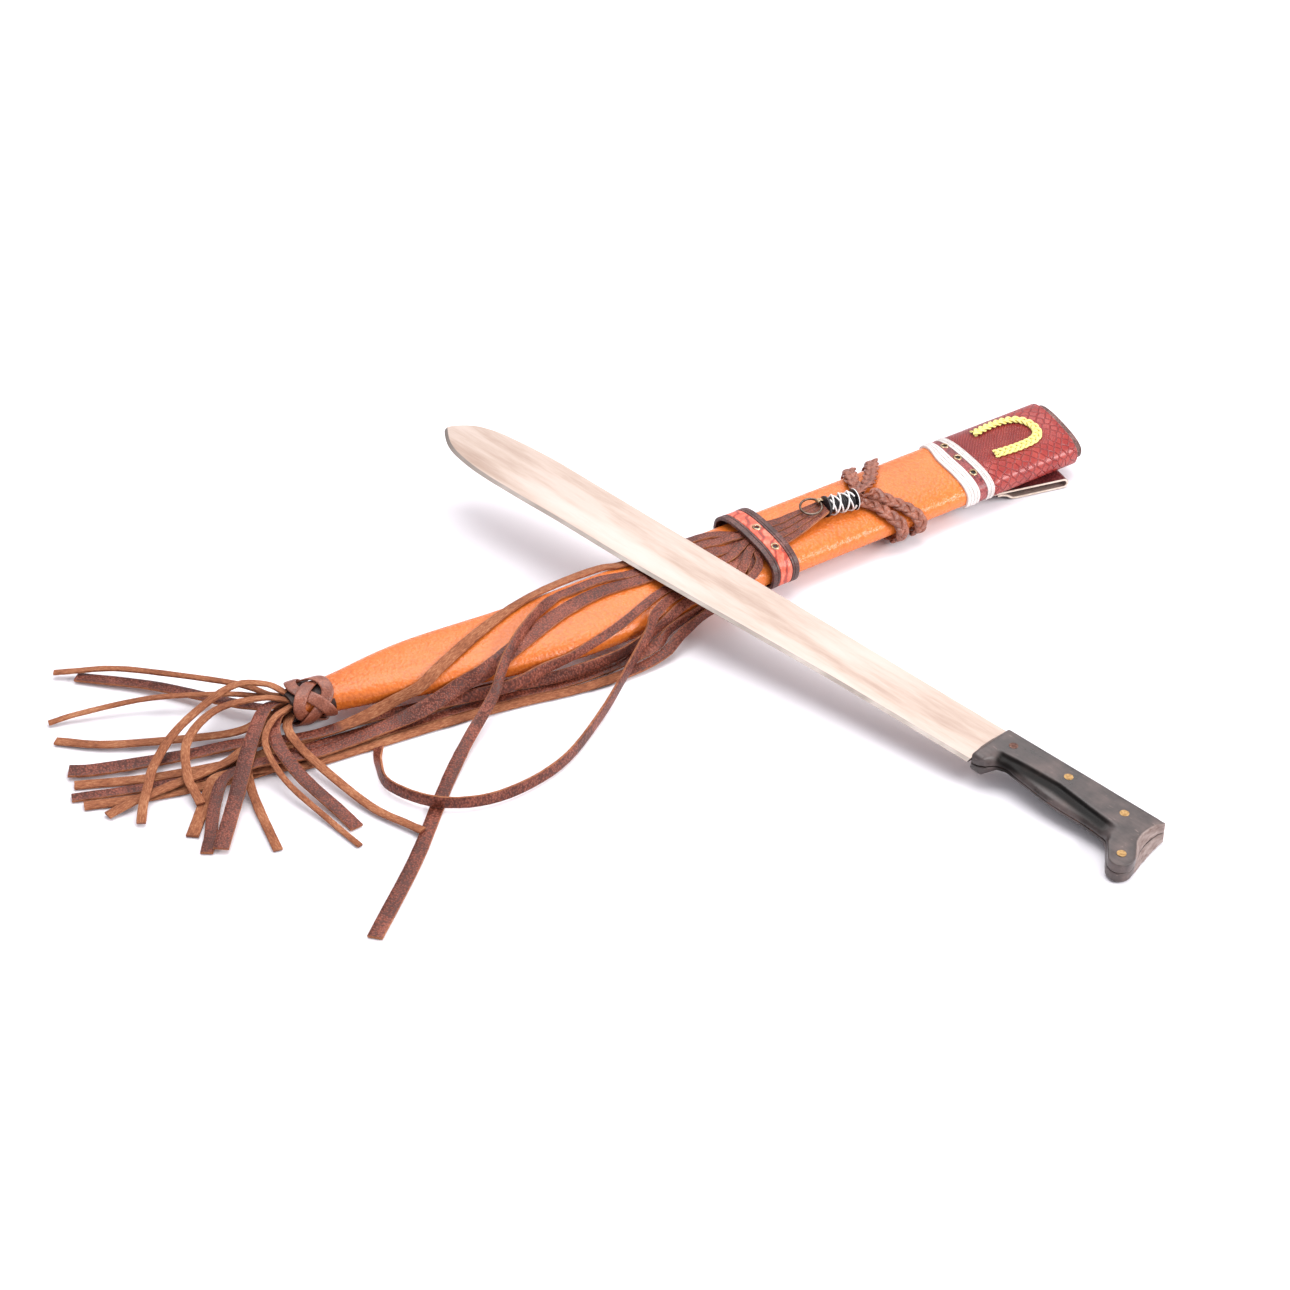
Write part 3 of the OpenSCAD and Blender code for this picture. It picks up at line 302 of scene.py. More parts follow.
def makeCord(name, stops, twist, rough):
    # twisted cord: strands run round it at a slant
    material, tree, shader = newMaterial(name, Roughness=rough)
    along = addNode(tree, "UVMap", {"uv_map": "along"}, {}).outputs[0]
    slanted = addNode(tree, "Mapping", {}, {"Vector": along, "Rotation": (0, 0, math.radians(35))})
    strand = addNode(tree, "TexWave", {"wave_type": "BANDS", "bands_direction": "X"},
                     {"Vector": slanted.outputs[0], "Scale": every(twist * 3.14), "Distortion": 1.2})
    colour = addNode(tree, "ValToRGB", {"stops": stops}, {0: strand.outputs["Fac"]})
    bump = addNode(tree, "Bump", {}, {"Strength": 0.6, "Distance": 0.0002, "Height": strand.outputs["Fac"]})
    feed(tree, shader, Base_Color=colour.outputs[0], Normal=bump.outputs[0])
    return material


def makeMetal(name, stops, patch, rough, scratch=0.15):
    # worn metal: tarnish in patches, rougher where it is dull
    material, tree, shader = newMaterial(name, Metallic=1.0)
    place = addNode(tree, "TexCoord", {}, {}).outputs["Object"]
    tarnish = addNode(tree, "TexNoise", {},
                      {"Vector": place, "Scale": every(patch), "Detail": 6, "Roughness": 0.6})
    colour = addNode(tree, "ValToRGB", {"stops": stops}, {0: tarnish.outputs["Fac"]})
    shine = addNode(tree, "MapRange", {},
                    {0: tarnish.outputs["Fac"], 1: 0.3, 2: 0.7, 3: rough + 0.15, 4: rough})
    grit = addNode(tree, "TexNoise", {}, {"Vector": place, "Scale": every(0.6), "Detail": 3})
    bump = addNode(tree, "Bump", {}, {"Strength": scratch, "Distance": 0.0002,
                                      "Height": grit.outputs["Fac"]})
    feed(tree, shader, Base_Color=colour.outputs[0], Roughness=shine.outputs[0], Normal=bump.outputs[0])
    return material


def makeBladeSteel(turn):
    # carbon steel, ground and polished along its length, with thin brown patina
    material, tree, shader = newMaterial("patinated carbon steel", Metallic=1.0)
    place = addNode(tree, "TexCoord", {}, {}).outputs["Object"]
    lengthwise = addNode(tree, "Mapping", {"vector_type": "TEXTURE"},
                         {"Vector": place, "Rotation": (0, 0, math.radians(turn))})
    drawn = addNode(tree, "Mapping", {}, {"Vector": lengthwise.outputs[0], "Scale": (0.13, 1, 1)})
    stain = addNode(tree, "TexNoise", {},
                    {"Vector": drawn.outputs[0], "Scale": every(26), "Detail": 7, "Roughness": 0.62})
    lines = addNode(tree, "Mapping", {}, {"Vector": lengthwise.outputs[0], "Scale": (0.02, 1, 1)})
    brush = addNode(tree, "TexNoise", {}, {"Vector": lines.outputs[0], "Scale": every(1.2), "Detail": 3})
    tone = addNode(tree, "Math", {"operation": "MULTIPLY_ADD"},
                   {0: brush.outputs["Fac"], 1: 0.12, 2: -0.06})
    tone = addNode(tree, "Math", {"operation": "ADD"}, {0: stain.outputs["Fac"], 1: tone.outputs[0]})
    colour = addNode(tree, "ValToRGB",
                     {"stops": [(0.28, "#a89184"), (0.42, "#b8a599"), (0.52, "#c1b0a6"), (0.64, "#c5b7af"),
                                (0.78, "#bba89c")]}, {0: tone.outputs[0]})
    shine = addNode(tree, "MapRange", {}, {0: stain.outputs["Fac"], 1: 0.35, 2: 0.6, 3: 0.5, 4: 0.36})
    bump = addNode(tree, "Bump", {}, {"Strength": 0.12, "Distance": 0.0001, "Height": brush.outputs["Fac"]})
    feed(tree, shader, Base_Color=colour.outputs[0], Roughness=shine.outputs[0], Normal=bump.outputs[0])
    return material


def makeHorn(turn):
    # buffalo horn, filed and hand-polished: near black, brown clouds along the grain, dusty scuffs;
    # its sawn butt is dull grey-brown, with red-brown growth lines
    material, tree, shader = newMaterial("black buffalo horn", Roughness=0.3)
    place = addNode(tree, "TexCoord", {}, {}).outputs["Object"]
    lengthwise = addNode(tree, "Mapping", {"vector_type": "TEXTURE"},
                         {"Vector": place, "Rotation": (0, 0, math.radians(turn))})
    drawn = addNode(tree, "Mapping", {}, {"Vector": lengthwise.outputs[0], "Scale": (0.16, 1, 1)})
    streak = addNode(tree, "TexNoise", {},
                     {"Vector": drawn.outputs[0], "Scale": every(2.6), "Detail": 6, "Roughness": 0.6})
    cloud = addNode(tree, "TexNoise", {},
                    {"Vector": place, "Scale": every(16), "Detail": 5, "Roughness": 0.55})
    tone = addNode(tree, "Math", {"operation": "MULTIPLY_ADD"},
                   {0: streak.outputs["Fac"], 1: 0.3, 2: -0.15})
    tone = addNode(tree, "Math", {"operation": "ADD"}, {0: cloud.outputs["Fac"], 1: tone.outputs[0]})
    specks = addNode(tree, "TexNoise", {}, {"Vector": drawn.outputs[0], "Scale": every(1.1), "Detail": 2})
    scuff = addNode(tree, "MapRange", {}, {0: specks.outputs["Fac"], 1: 0.68, 2: 0.76, 4: 0.35})
    tone = addNode(tree, "Math", {"operation": "ADD"}, {0: tone.outputs[0], 1: scuff.outputs[0]})
    worn = addNode(tree, "ValToRGB", {"stops": [(0.3, "#2b2321"), (0.5, "#433937"), (0.68, "#584b48"),
                                                (0.95, "#85716a")]}, {0: tone.outputs[0]})
    # the finger hollow is painted near-black, with less specular below: painted shade and painted dark
    # reflection in the hollow
    hollowShadeColour = addNode(tree, "ValToRGB", {"stops": [(0.35, "#080605"), (0.6, "#130e0c"), (0.8, "#281f1b")]},
                    {0: tone.outputs[0]})
    handled = addNode(tree, "Attribute", {"attribute_name": "handled"}, {}).outputs["Fac"]
    colour = addNode(tree, "Mix", {"data_type": "RGBA"},
                     {0: handled, 6: worn.outputs[0], 7: hollowShadeColour.outputs[0]})
    flat = addNode(tree, "Mapping", {}, {"Vector": place, "Scale": (0.25, 0.25, 1)})
    layers = addNode(tree, "TexNoise", {},
                     {"Vector": flat.outputs[0], "Scale": every(2.2), "Detail": 6, "Roughness": 0.65})
    cut = addNode(tree, "ValToRGB", {"stops": [(0.3, "#54382e"), (0.43, "#75625b"), (0.6, "#8d7c76"),
                                               (0.8, "#a5958d")]}, {0: layers.outputs["Fac"]})
    sawn = addNode(tree, "Attribute", {"attribute_name": "sawn"}, {}).outputs["Fac"]
    colour = addNode(tree, "Mix", {"data_type": "RGBA"}, {0: sawn, 6: colour.outputs[2], 7: cut.outputs[0]})
    # less specular in the hollow, part of its painted dark reflection
    level = addNode(tree, "MapRange", {}, {0: handled, 3: 0.5, 4: 0.13})
    feed(tree, shader, Specular_IOR_Level=level.outputs[0])
    shine = addNode(tree, "MapRange", {}, {0: tone.outputs[0], 1: 0.3, 2: 0.7, 3: 0.24, 4: 0.5})
    shine = addNode(tree, "Mix", {"data_type": "FLOAT"}, {0: sawn, 2: shine.outputs[0], 3: 0.6})
    bump = addNode(tree, "Bump", {}, {"Strength": 0.2, "Distance": 0.0002, "Height": streak.outputs["Fac"]})
    feed(tree, shader, Base_Color=colour.outputs[2], Roughness=shine.outputs[0], Normal=bump.outputs[0])
    return material


def makeRivetMetal(splitAt):
    # three brass rivets and, nearest the blade, one of copper, all filed flush
    material, tree, shader = newMaterial("filed brass and copper", Metallic=1.0)
    place = addNode(tree, "TexCoord", {}, {}).outputs["Object"]
    axes = addNode(tree, "SeparateXYZ", {}, {0: place})
    first = addNode(tree, "Math", {"operation": "GREATER_THAN"}, {0: axes.outputs[1], 1: splitAt})
    wear = addNode(tree, "TexNoise", {}, {"Vector": place, "Scale": every(1.6), "Detail": 5})
    brass = addNode(tree, "ValToRGB", {"stops": [(0.25, "#86663e"), (0.5, "#a8865a"), (0.75, "#c4a06c")]},
                    {0: wear.outputs["Fac"]})
    copper = addNode(tree, "ValToRGB", {"stops": [(0.3, "#4a312a"), (0.55, "#664a41"), (0.75, "#81655b")]},
                     {0: wear.outputs["Fac"]})
    colour = addNode(tree, "Mix", {"data_type": "RGBA"},
                     {0: first.outputs[0], 6: brass.outputs[0], 7: copper.outputs[0]})
    shine = addNode(tree, "MapRange", {}, {0: wear.outputs["Fac"], 1: 0.3, 2: 0.7, 3: 0.55, 4: 0.3})
    bump = addNode(tree, "Bump", {}, {"Strength": 0.25, "Distance": 0.0002, "Height": wear.outputs["Fac"]})
    feed(tree, shader, Base_Color=colour.outputs[2], Roughness=shine.outputs[0], Normal=bump.outputs[0])
    return material


# the palest grain stop is the painted highlight on the pebble domes
thongLeather = makeThongLeather(
    "latigo thong leather",
    [(0.22, "#4c2116"), (0.44, "#7d3f2e"), (0.64, "#9f5a46"), (0.86, "#e6bba9")],
    [(0.25, "#5d321f"), (0.5, "#95593a"), (0.75, "#c08862")])
loopLeather = makeThongLeather(
    "red strap leather with raw edges",
    [(0.2, "#3c1517"), (0.5, "#6a2827"), (0.8, "#96433c")],
    [(0.25, "#b79f8c"), (0.5, "#d9c9bb"), (0.75, "#efe4da")])
bladeTurn = 99.7
scabbardHide = makeScabbardHide()
scaleHide = makeScaleHide()
liningHide = makeFlatLeather("dark brown lining leather",
                             [(0.25, "#4c352f"), (0.5, "#775651"), (0.8, "#a48782")], 1.1, 0.75)
keeperHide = makeFlatLeather("oiled dark brown leather",
                             [(0.25, "#3b1f1b"), (0.5, "#57312b"), (0.8, "#875a52")], 1.2, 0.42)
knotHide = makeFlatLeather("braided brown leather", [(0.2, "#74402f"), (0.5, "#92543f"), (0.8, "#b3745d")],
                           1.1, 0.36)
wrapHide = makeFlatLeather("dark tip sleeve", [(0.2, "#23130e"), (0.5, "#3a221b"), (0.8, "#5c3b31")],
                           1.1, 0.6)
inlayHide = makeInlayHide()
bandHide = makeFlatLeather("red band leather", [(0.2, "#5b2024"), (0.5, "#8f3c3c"), (0.8, "#b8635d")], 1.5,
                           0.35)
stripHide = makeFlatLeather("white laced rawhide", [(0.1, "#c6bdb8"), (0.35, "#d7d0cc"), (0.8, "#e2dedb")],
                            0.7, 0.42, 0.0001, 0.15)
shoeCord = makeCord("yellow waxed lacing", [(0.1, "#d9c95a"), (0.4, "#f0e37f"), (0.9, "#f8f0a6")], 0.7, 0.4)
windingCord = makeCord("black waxed cord", [(0.1, "#0d0c0d"), (0.5, "#242224"), (0.9, "#3d3a3c")], 0.5, 0.5)
lacingCord = makeCord("white waxed cord", [(0.05, "#c9bdb6"), (0.4, "#f4f0ec"), (0.9, "#ffffff")], 0.5,
                      0.45)
eyeletBrass = makeMetal("aged eyelet brass", [(0.3, "#6b543f"), (0.5, "#a98d6c"), (0.7, "#ddd0bc")], 2.5,
                        0.28)
ringSteel = makeMetal("drawn steel wire", [(0.3, "#3d2f27"), (0.5, "#66554a"), (0.7, "#94857a")], 4, 0.26)
tangIron = makeMetal("rusted tang iron", [(0.42, "#1d1715"), (0.52, "#3a2a24"), (0.64, "#7d5848")], 9, 0.6,
                     0.4)
# real black leather for the ferrule's discs; the same dark material in the eyelet holes is painted shade
blackDiscsAndHoleShade = makeFlatLeather("black leather discs and painted hole shade", [(0.2, "#121011"), (0.5, "#272325"), (0.8, "#454043")],
                              1.1, 0.5)
bladeSteel = makeBladeSteel(bladeTurn)
edgeSteel = makeMetal("freshly ground edge steel", [(0.3, "#857b75"), (0.5, "#938a84"), (0.7, "#a19893")],
                      40, 0.42, 0.03)
horn = makeHorn(bladeTurn)
rivetMetal = makeRivetMetal(-0.21)  # metres across the ground: past it lies only the first rivet
print("materials made")


# the scabbard's own lines, as in the solid model
scabbard = {
    "width": 61, "thickness": 21.6, "height": 22, "across": 90.5, "lean": 10, "skin": 1.8, "fit": 0.1,
    "mouth": 311.3, "slant": 7.4, "liningShows": 6.5, "lining": 1.6, "round": 2.6,
    # along, sideways, down, width share, thickness share, lean share
    "taper": [(330, 0, 0, 1, 1, 1), (-110, 0, 0, 1, 1, 1), (-144, 2.2, 0.6, 0.985, 1, 1),
              (-177, 8.4, 1.3, 0.9, 0.98, 1), (-212, 15.8, 2.2, 0.87, 0.96, 0.9),
              (-246, 23.1, 3.5, 0.77, 0.93, 0.7), (-267, 27.1, 4.6, 0.62, 0.89, 0.5),
              (-281, 29.5, 5.6, 0.52, 0.84, 0.3), (-294, 31.8, 6.9, 0.42, 0.8, 0.1),
              (-318, 38, 8.5, 0.35, 0.79, 0)],
}
halfWide = scabbard["width"] / 2
halfThick = scabbard["thickness"] / 2


def shares(x):
    rows = scabbard["taper"]
    for p, q in zip(rows, rows[1:]):
        if x >= q[0] or q is rows[-1]:
            t = min(1, (p[0] - x) / (p[0] - q[0]))
            return [a + (b - a) * t for a, b in zip(p, q)]


def station(x, soft=0):
    # sideways, up, half width, half thickness, lean; soft rounds the taper's corners
    rows = [shares(x + soft * k / 4) for k in range(-4, 5)] if soft else [shares(x)]
    r = [sum(c) / len(rows) for c in zip(*rows)]
    return (scabbard["across"] + r[1], scabbard["height"] - r[2], halfWide * r[3], halfThick * r[4],
            scabbard["lean"] * r[5])


def placed(x, u, w, soft=0):  # across and up in the scabbard's own section, to the ground's frame
    y, z, _, _, lean = station(x, soft)
    c, s = math.cos(math.radians(lean)), math.sin(math.radians(lean))
    return Vector((x, y + u * c - w * s, z + u * s + w * c))


def ovalHeight(a, b, u):
    return b * (1 - min(abs(u) / a, 0.985) ** scabbard["round"]) ** (1 / scabbard["round"])


def ovalTilt(a, b, u):
    k = scabbard["round"] - 1
    return math.degrees(math.atan2(math.copysign(min(abs(u) / a, 0.985) ** k, u) / a,
                                   (ovalHeight(a, b, u) / b) ** k / b))


leaning = Matrix.Translation(mm((0, scabbard["across"], scabbard["height"]))) @ Matrix.Rotation(
    math.radians(scabbard["lean"]), 4, "X")


# the thongs of the tassel and the fringe
thong = {"thickness": 1.8, "lift": 0.3, "cutWobble": 0.12}


def on(x, u, w=8, lift=thong["lift"]):  # a thong's point on the scabbard's skin
    _, _, a, b, lean = station(x)
    tilt = ovalTilt(a, b, u)
    off = thong["thickness"] / 2 + lift
    v = math.copysign(min(abs(u), 0.985 * a), u)
    r = math.radians(tilt)
    p = placed(x, v + off * math.sin(r), ovalHeight(a, b, u) + off * math.cos(r))
    return [*p, tilt - lean, w, thong["thickness"]]


def over(x, u, v, w=8, t=thong["thickness"]):  # a point at its own height over the scabbard's middle
    return [*placed(x, u, v), -station(x)[4], w, t]


def at(x, y, z, r=0, w=8):  # a point over the ground
    return [x, y, z, r, w, thong["thickness"]]


def stood(point, roll):  # the same point with the strap turned on its edge
    return point[:3] + [roll] + point[4:]


def fringe(x, y, z, w=6):  # a point of a flat thong
    return [x, y, z, 0, w, thong["thickness"]]


lowLayer = halfThick + thong["lift"] + thong["thickness"] / 2
highLayer = lowLayer + thong["thickness"] + 0.35


def head(c, u, k, d=0):  # the bound end: column in the ferrule, place under the keeper, layer
    v = lowLayer + (highLayer - lowLayer) * k - d
    n = 16.2 + 2.9 * k
    m = 0.96 * c - 0.6
    return [over(89 + 0.14 * c, m, n, 3, 2.6), over(68, 0.5 * (m + u), 0.6 * v + 0.4 * n, 4.2, 2),
            over(57, 0.3 * m + 0.7 * u, v + 0.15, 4.9), over(44, u, v + 0.1, 5.7),
            over(33, 1.02 * u, v, 5.8), over(22, 1.05 * u, v, 5.8)]


# name: (where along the scabbard it turns over, grain side up before that; declared width; route)
thongRoutes = {"thong_1": ((-40, -300), 8, head(4.9, 8.5, 0)
                           + [on(13, 15, 6.4), on(4, 19.5, 7), on(-10, 21.5, 7.5), on(-63, 24, 8, 0.5),
                              at(-80, 120, 34, 8), at(-112, 121.5, 33.6, 10), on(-148, 23.6, 8, 0.7),
                              on(-188, 4.5, 8, 1.1), on(-227, -16, 8, 1.2), on(-244, -22.5, 8, 1),
                              at(-258, 91.5, 16.4, -80), at(-292, 97.5, 7, -20), at(-325, 106.5, 3.6, 0, 9),
                              at(-360, 123.5, 3.6, 0, 10), at(-398, 134.5, 3.4, 0, 11),
                              at(-447, 152.5, 3.2, 0, 12), at(-463, 162, 3, 0, 12)]),
               "thong_4": ((), 8, head(3.3, 5.2, 1)
                           + [over(13, 7.5, 13.7, 6.4), on(4, 10, 7), on(-10, 12.5, 7.5), on(-61, 10.7, 7),
                              on(-89, 17, 7.4), on(-114, 17), on(-126, 15.7, 7.4, 0.6),
                              stood(over(-144, 7.5, 14.8, 7), -60), stood(over(-162, -5.5, 17, 7), -68),
                              stood(over(-179, -19, 16.6, 7), -60), at(-193, 69.5, 25, -50, 7.2),
                              at(-208, 58.5, 15, -38, 7.6), at(-240, 38.5, 6.6, -18, 8),
                              at(-264, 20.5, 2.4, 0, 9), at(-287, 0, 1.2, 0, 9),
                              at(-332, -42.5, 1.1, 0, 9.4), at(-391, -91, 1.1, 0, 9.7)]),
               "thong_3": ((), 9, head(1.6, 1.9, 0)
                           + [on(13, 0.6, 6.8), on(4, 0.2, 7.6), on(-10, 2.6, 9.6), on(-61, 2.5, 8.4, 0.4),
                              on(-97, 6, 10, 0.4), on(-132, 0.7, 11, 0.5), on(-171, -14.5, 11, 0.7),
                              on(-190, -22, 11, 0.8), on(-205, -25.5, 11, 0.9),
                              at(-219, 78.5, 18, -60, 10.5), at(-248, 78.5, 11, -40, 10.5),
                              at(-280, 81.5, 6, -10, 10), at(-323, 84.5, 4.4, 0, 10),
                              at(-346, 87.5, 7.4, 0, 9), at(-368, 91.5, 9.6), at(-390, 90.5, 8),
                              at(-407, 73.5, 3.8), at(-422, 51.5, 1.6), at(-432, 38.5, 1.2)]),
               "thong_6": ((-300,), 7, head(0, -1.4, 1)
                           + [over(13, -4.6, 14.1, 6), over(4, -7.8, 13.5, 6.4), on(-8, -8.5, 6.6),
                              on(-56, -13, 6.2), on(-78, -18.3, 6, 0.4), on(-97, -23.5, 6, 0.5),
                              on(-119, -27.5, 6, 0.7), on(-144, -29.6, 6.4, 0.9), at(-166, 63, 17, -75),
                              at(-191, 65.5, 12.4, -70), at(-229, 80.5, 7.4, -30), at(-258, 91, 5.4, -12),
                              at(-291, 103, 2.2), at(-328, 106, 1.4), at(-371, 110.5, 1.2),
                              at(-423.5, 127.5, 1.2), at(-466, 148.5, 1.2)]),
               "thong_5": ((), 7, head(-1.7, -4.7, 0)
                           + [on(13, -9.6, 6), on(4, -14.6, 6.4), on(-10, -15.8, 6.6),
                              on(-54, -20.3, 6.8, 0.4), at(-72, 62, 27.6, -32, 7),
                              at(-80, 57.5, 26, -46, 7), at(-88, 51, 22, -62, 7.4), at(-101, 45, 15, -76),
                              at(-115, 38, 9.6, -82), at(-155, 11.5, 5.4, -85), at(-207, -17, 5, -85),
                              at(-257, -23, 5.4, -85), at(-292, -7.5, 6.6, -85), at(-307, 26.5, 5.4, -80),
                              at(-300, 51.5, 4.4, -60, 7), at(-290, 68.5, 2.6, -20, 7)]),
               "thong_8": ((), 7, head(-3.3, -8, 1)
                           + [over(14, -13, 14.2, 6), over(7, -19.5, 13.5, 6), on(-2, -22.8, 6.4, 0.5),
                              on(-12, -22.8, 6.4), on(-48, -26.8, 6.8, 0.7), at(-68, 58.5, 20.4, -76, 7.2),
                              at(-89, 56, 14.6, -88), at(-114, 53.5, 12, -85), at(-156, 62, 7.6, -60),
                              at(-200, 82.8, 3, -20), at(-236, 86, 1.2), at(-331, 97.5, 1.2),
                              at(-373, 102, 1.2), at(-428, 119, 1.2), at(-473.5, 137.5, 1.2)]),
               "thong_9": ((-300,), 7, head(-5, -11.3, 0, 0.4)
                           + [on(13, -20, 5.8, 0.9), on(4, -28, 6, 0.8), at(-8, 59.5, 22, -62, 6.4),
                              at(-26, 58.3, 20.4, -74, 6.6), at(-64, 57, 14, -85, 7),
                              at(-88, 51, 8, -30, 7.4), at(-146, 58.5, 1.8, -8), at(-186, 67.5, 1.2),
                              at(-236, 77, 1.2), at(-331, 89, 1.2), at(-374, 93.5, 1.2), at(-433, 110, 1.2),
                              at(-471, 125.5, 1.2)]),
               "thong_10": ((-112,), 7, head(-6.6, -14, 1, 0.55)
                            + [on(18, -20, 5.4, 3), on(13, -24.4, 6, 3), at(4, 59, 26.6, -46, 6),
                               at(-8, 56, 21.4, -62, 6.4), at(-26, 54.7, 18.2, -74, 6.6),
                               at(-42, 53.7, 15.4, -80, 6.8), at(-62, 49.5, 11, -50, 7),
                               at(-80, 44, 6, -16, 7.4), at(-106, 43.5, 2.8, -6), at(-146, 48.5, 1.4),
                               at(-186, 58.5, 1.2), at(-236, 68, 1.2), at(-326, 79.5, 1.2),
                               at(-344, 82, 3.6), at(-361, 90.5, 3.8), at(-389, 99.5, 4.2),
                               at(-400, 91.5, 3.7), at(-411, 80.5, 1.6), at(-431, 58.5, 1.2)]),
               "fringe_1": ((0,), 5, [fringe(-320, 135, 18.2, 4.2), fringe(-327, 143.5, 17.6, 4.5),
                                      fringe(-338, 167.5, 17, 5), fringe(-372, 221.5, 10, 5),
                                      fringe(-390, 244.5, 7, 5), fringe(-408, 257.5, 5.2, 5),
                                      fringe(-421, 266.5, 3.9, 5)]),
               "fringe_2": ((), 7, [fringe(-320, 130, 15.4, 4), fringe(-332, 139.5, 11.4),
                                    fringe(-345, 161.5, 8, 9), fringe(-354, 179.5, 6, 9),
                                    fringe(-376, 215.5, 4, 9), fringe(-410, 255.5, 2, 9)]),
               "fringe_3": ((0,), 4.5,
                            [fringe(-320, 135.3, 15.2, 3.4), fringe(-333, 150.5, 14.8, 4.5),
                             fringe(-349, 167.5, 13, 4.5), fringe(-387, 194.5, 10, 4.5),
                             fringe(-429, 212.5, 5, 4.5), fringe(-449, 218.5, 2, 4.5)]),
               "fringe_4": ((0,), 6.5,
                            [fringe(-320, 133.5, 9.8, 5), fringe(-336, 133.5, 8),
                             fringe(-355, 132.5, 6.4, 7), fringe(-378, 144.5, 4, 7),
                             fringe(-428, 172.5, 3, 7), fringe(-454, 198.5, 1.5, 7)]),
               "fringe_9": ((0,), 6.5,
                            [fringe(-320, 127.5, 9.8, 5), fringe(-334, 123.5, 8.2),
                             fringe(-348, 118.5, 6, 7), fringe(-368, 112, 5.6, 7),
                             fringe(-383, 108.5, 5, 7), fringe(-434, 108.5, 4.4, 7),
                             fringe(-451, 108, 3.4, 7), fringe(-464, 107.5, 1.8, 7)]),
               "fringe_10": ((0,), 6, [fringe(-320, 131.5, 22.4, 4.5), fringe(-328, 145.5, 25, 5),
                                       fringe(-348, 156.5, 24), fringe(-389, 148.5, 15),
                                       fringe(-418, 129.5, 9.4), fringe(-433, 111.5, 7.8),
                                       fringe(-442, 100.5, 5.9), fringe(-451, 87.5, 2.4)]),
               "fringe_11": ((0,), 6, [fringe(-320, 125.5, 19.8, 4.4), fringe(-336, 136.5, 22, 5),
                                       fringe(-365, 144.5, 20), fringe(-392, 133.5, 14),
                                       fringe(-407, 107.5, 8.4), fringe(-410, 93.5, 6),
                                       fringe(-412, 81.5, 3.8)]),
               "fringe_14": ((), 8, [fringe(-320, 129, 17.8, 4.2), fringe(-330, 130.5, 18.6, 6.5),
                                     fringe(-341, 126.5, 18, 9), fringe(-364, 103.5, 14, 10),
                                     fringe(-381, 83.5, 11.4, 10), fringe(-395, 67.5, 8, 10),
                                     fringe(-424, 34.5, 3.4, 10)]),
               "fringe_15": ((0,), 6, [fringe(-320, 129.5, 12.4, 4.6), fringe(-342, 122.5, 10),
                                       fringe(-356, 113.5, 8.6), fringe(-370, 95.5, 6.8),
                                       fringe(-377, 81.5, 4.6), fringe(-384, 58.5, 2.4),
                                       fringe(-395, 15.5, 1.2)]),
               "fringe_16": ((), 8, [fringe(-320, 125, 15.2, 4.6), fringe(-334, 120.5, 15, 7),
                                     fringe(-346, 101.5, 13.5, 9), fringe(-349, 66.5, 8, 9),
                                     fringe(-345, 24.5, 3, 9), fringe(-344, 6.5, 1.2, 9)]),
               "fringe_17": ((0,), 4, [fringe(-320, 123.3, 17.8, 4), fringe(-340, 114.5, 19.4, 4),
                                       fringe(-356, 96.5, 17, 4), fringe(-360, 65.5, 9, 4),
                                       fringe(-355, 23.5, 2.6, 4), fringe(-352, -10.5, 1.2, 4)]),
               "fringe_18": ((0,), 6, [fringe(-320, 122.5, 12.2, 4.6), fringe(-330, 114.5, 10.6),
                                       fringe(-334, 96.5, 9), fringe(-333, 69.5, 6.5),
                                       fringe(-327, 18.5, 3), fringe(-318, -10.5, 3.1),
                                       fringe(-314, -22.5, 3.2)]), }


def smoothPath(points, steps):  # the smooth line through the points that the solid model uses
    path = []
    last = len(points) - 1
    for i in range(last):
        b, d = points[i], points[i + 1]
        a = points[i - 1] if i else [2 * p - q for p, q in zip(b, d)]
        e = points[i + 2] if i + 2 <= last else [2 * q - p for p, q in zip(b, d)]
        for j in range(steps):
            t = j / steps
            path.append([0.5 * (2 * q + (r - p) * t + (2 * p - 5 * q + 4 * r - s) * t * t
                                + (3 * q - p - 3 * r + s) * t ** 3) for p, q, r, s in zip(a, b, d, e)])
    path.append(list(points[last]))
    return path


def heading(path, i):
    return (Vector(path[min(i + 1, len(path) - 1)][:3]) - Vector(path[max(i - 1, 0)][:3])).normalized()


def skinStrands(name, strands, marks=None):
    # each strand is a list of rings in millimetres, closed at its ends
    # marks say which points are on the grain side
    points, faces, maps = [], [], []
    for rings in strands:
        start, count = len(points), len(rings[0])
        points += [mm(p) for ring in rings for p in ring]
        middle = rings[len(rings) // 2]
        around = [0]
        for j in range(count):
            around.append(around[-1] + (Vector(middle[(j + 1) % count]) - Vector(middle[j])).length)
        far = [0]
        for p, q in zip(rings, rings[1:]):
            far.append(far[-1] + (Vector(q[0]) - Vector(p[0])).length)
        for i in range(len(rings) - 1):
            for j in range(count):
                k = (j + 1) % count
                a, b = start + i * count, start + (i + 1) * count
                faces.append((a + j, a + k, b + k, b + j))
                maps += [(around[j], far[i]), (around[j + 1], far[i]), (around[j + 1], far[i + 1]),
                         (around[j], far[i + 1])]
        end = start + (len(rings) - 1) * count
        faces.append(tuple(start + j for j in reversed(range(count))))
        faces.append(tuple(end + j for j in range(count)))
        maps += [(around[j], 0) for j in reversed(range(count))] + [(around[j], far[-1])
                                                                    for j in range(count)]
    mesh = bpy.data.meshes.new(name)
    mesh.from_pydata(points, [], faces)
    layer = mesh.uv_layers.new(name="along")
    layer.data.foreach_set("uv", [c * 0.001 for uv in maps for c in uv])
    piece = bpy.data.objects.new(name, mesh)
    bpy.context.scene.collection.objects.link(piece)
    if marks:
        markPoints(piece, "grain", [float(marks[i % len(marks)]) for i in range(len(points))])
    closeUp(piece)
    return piece


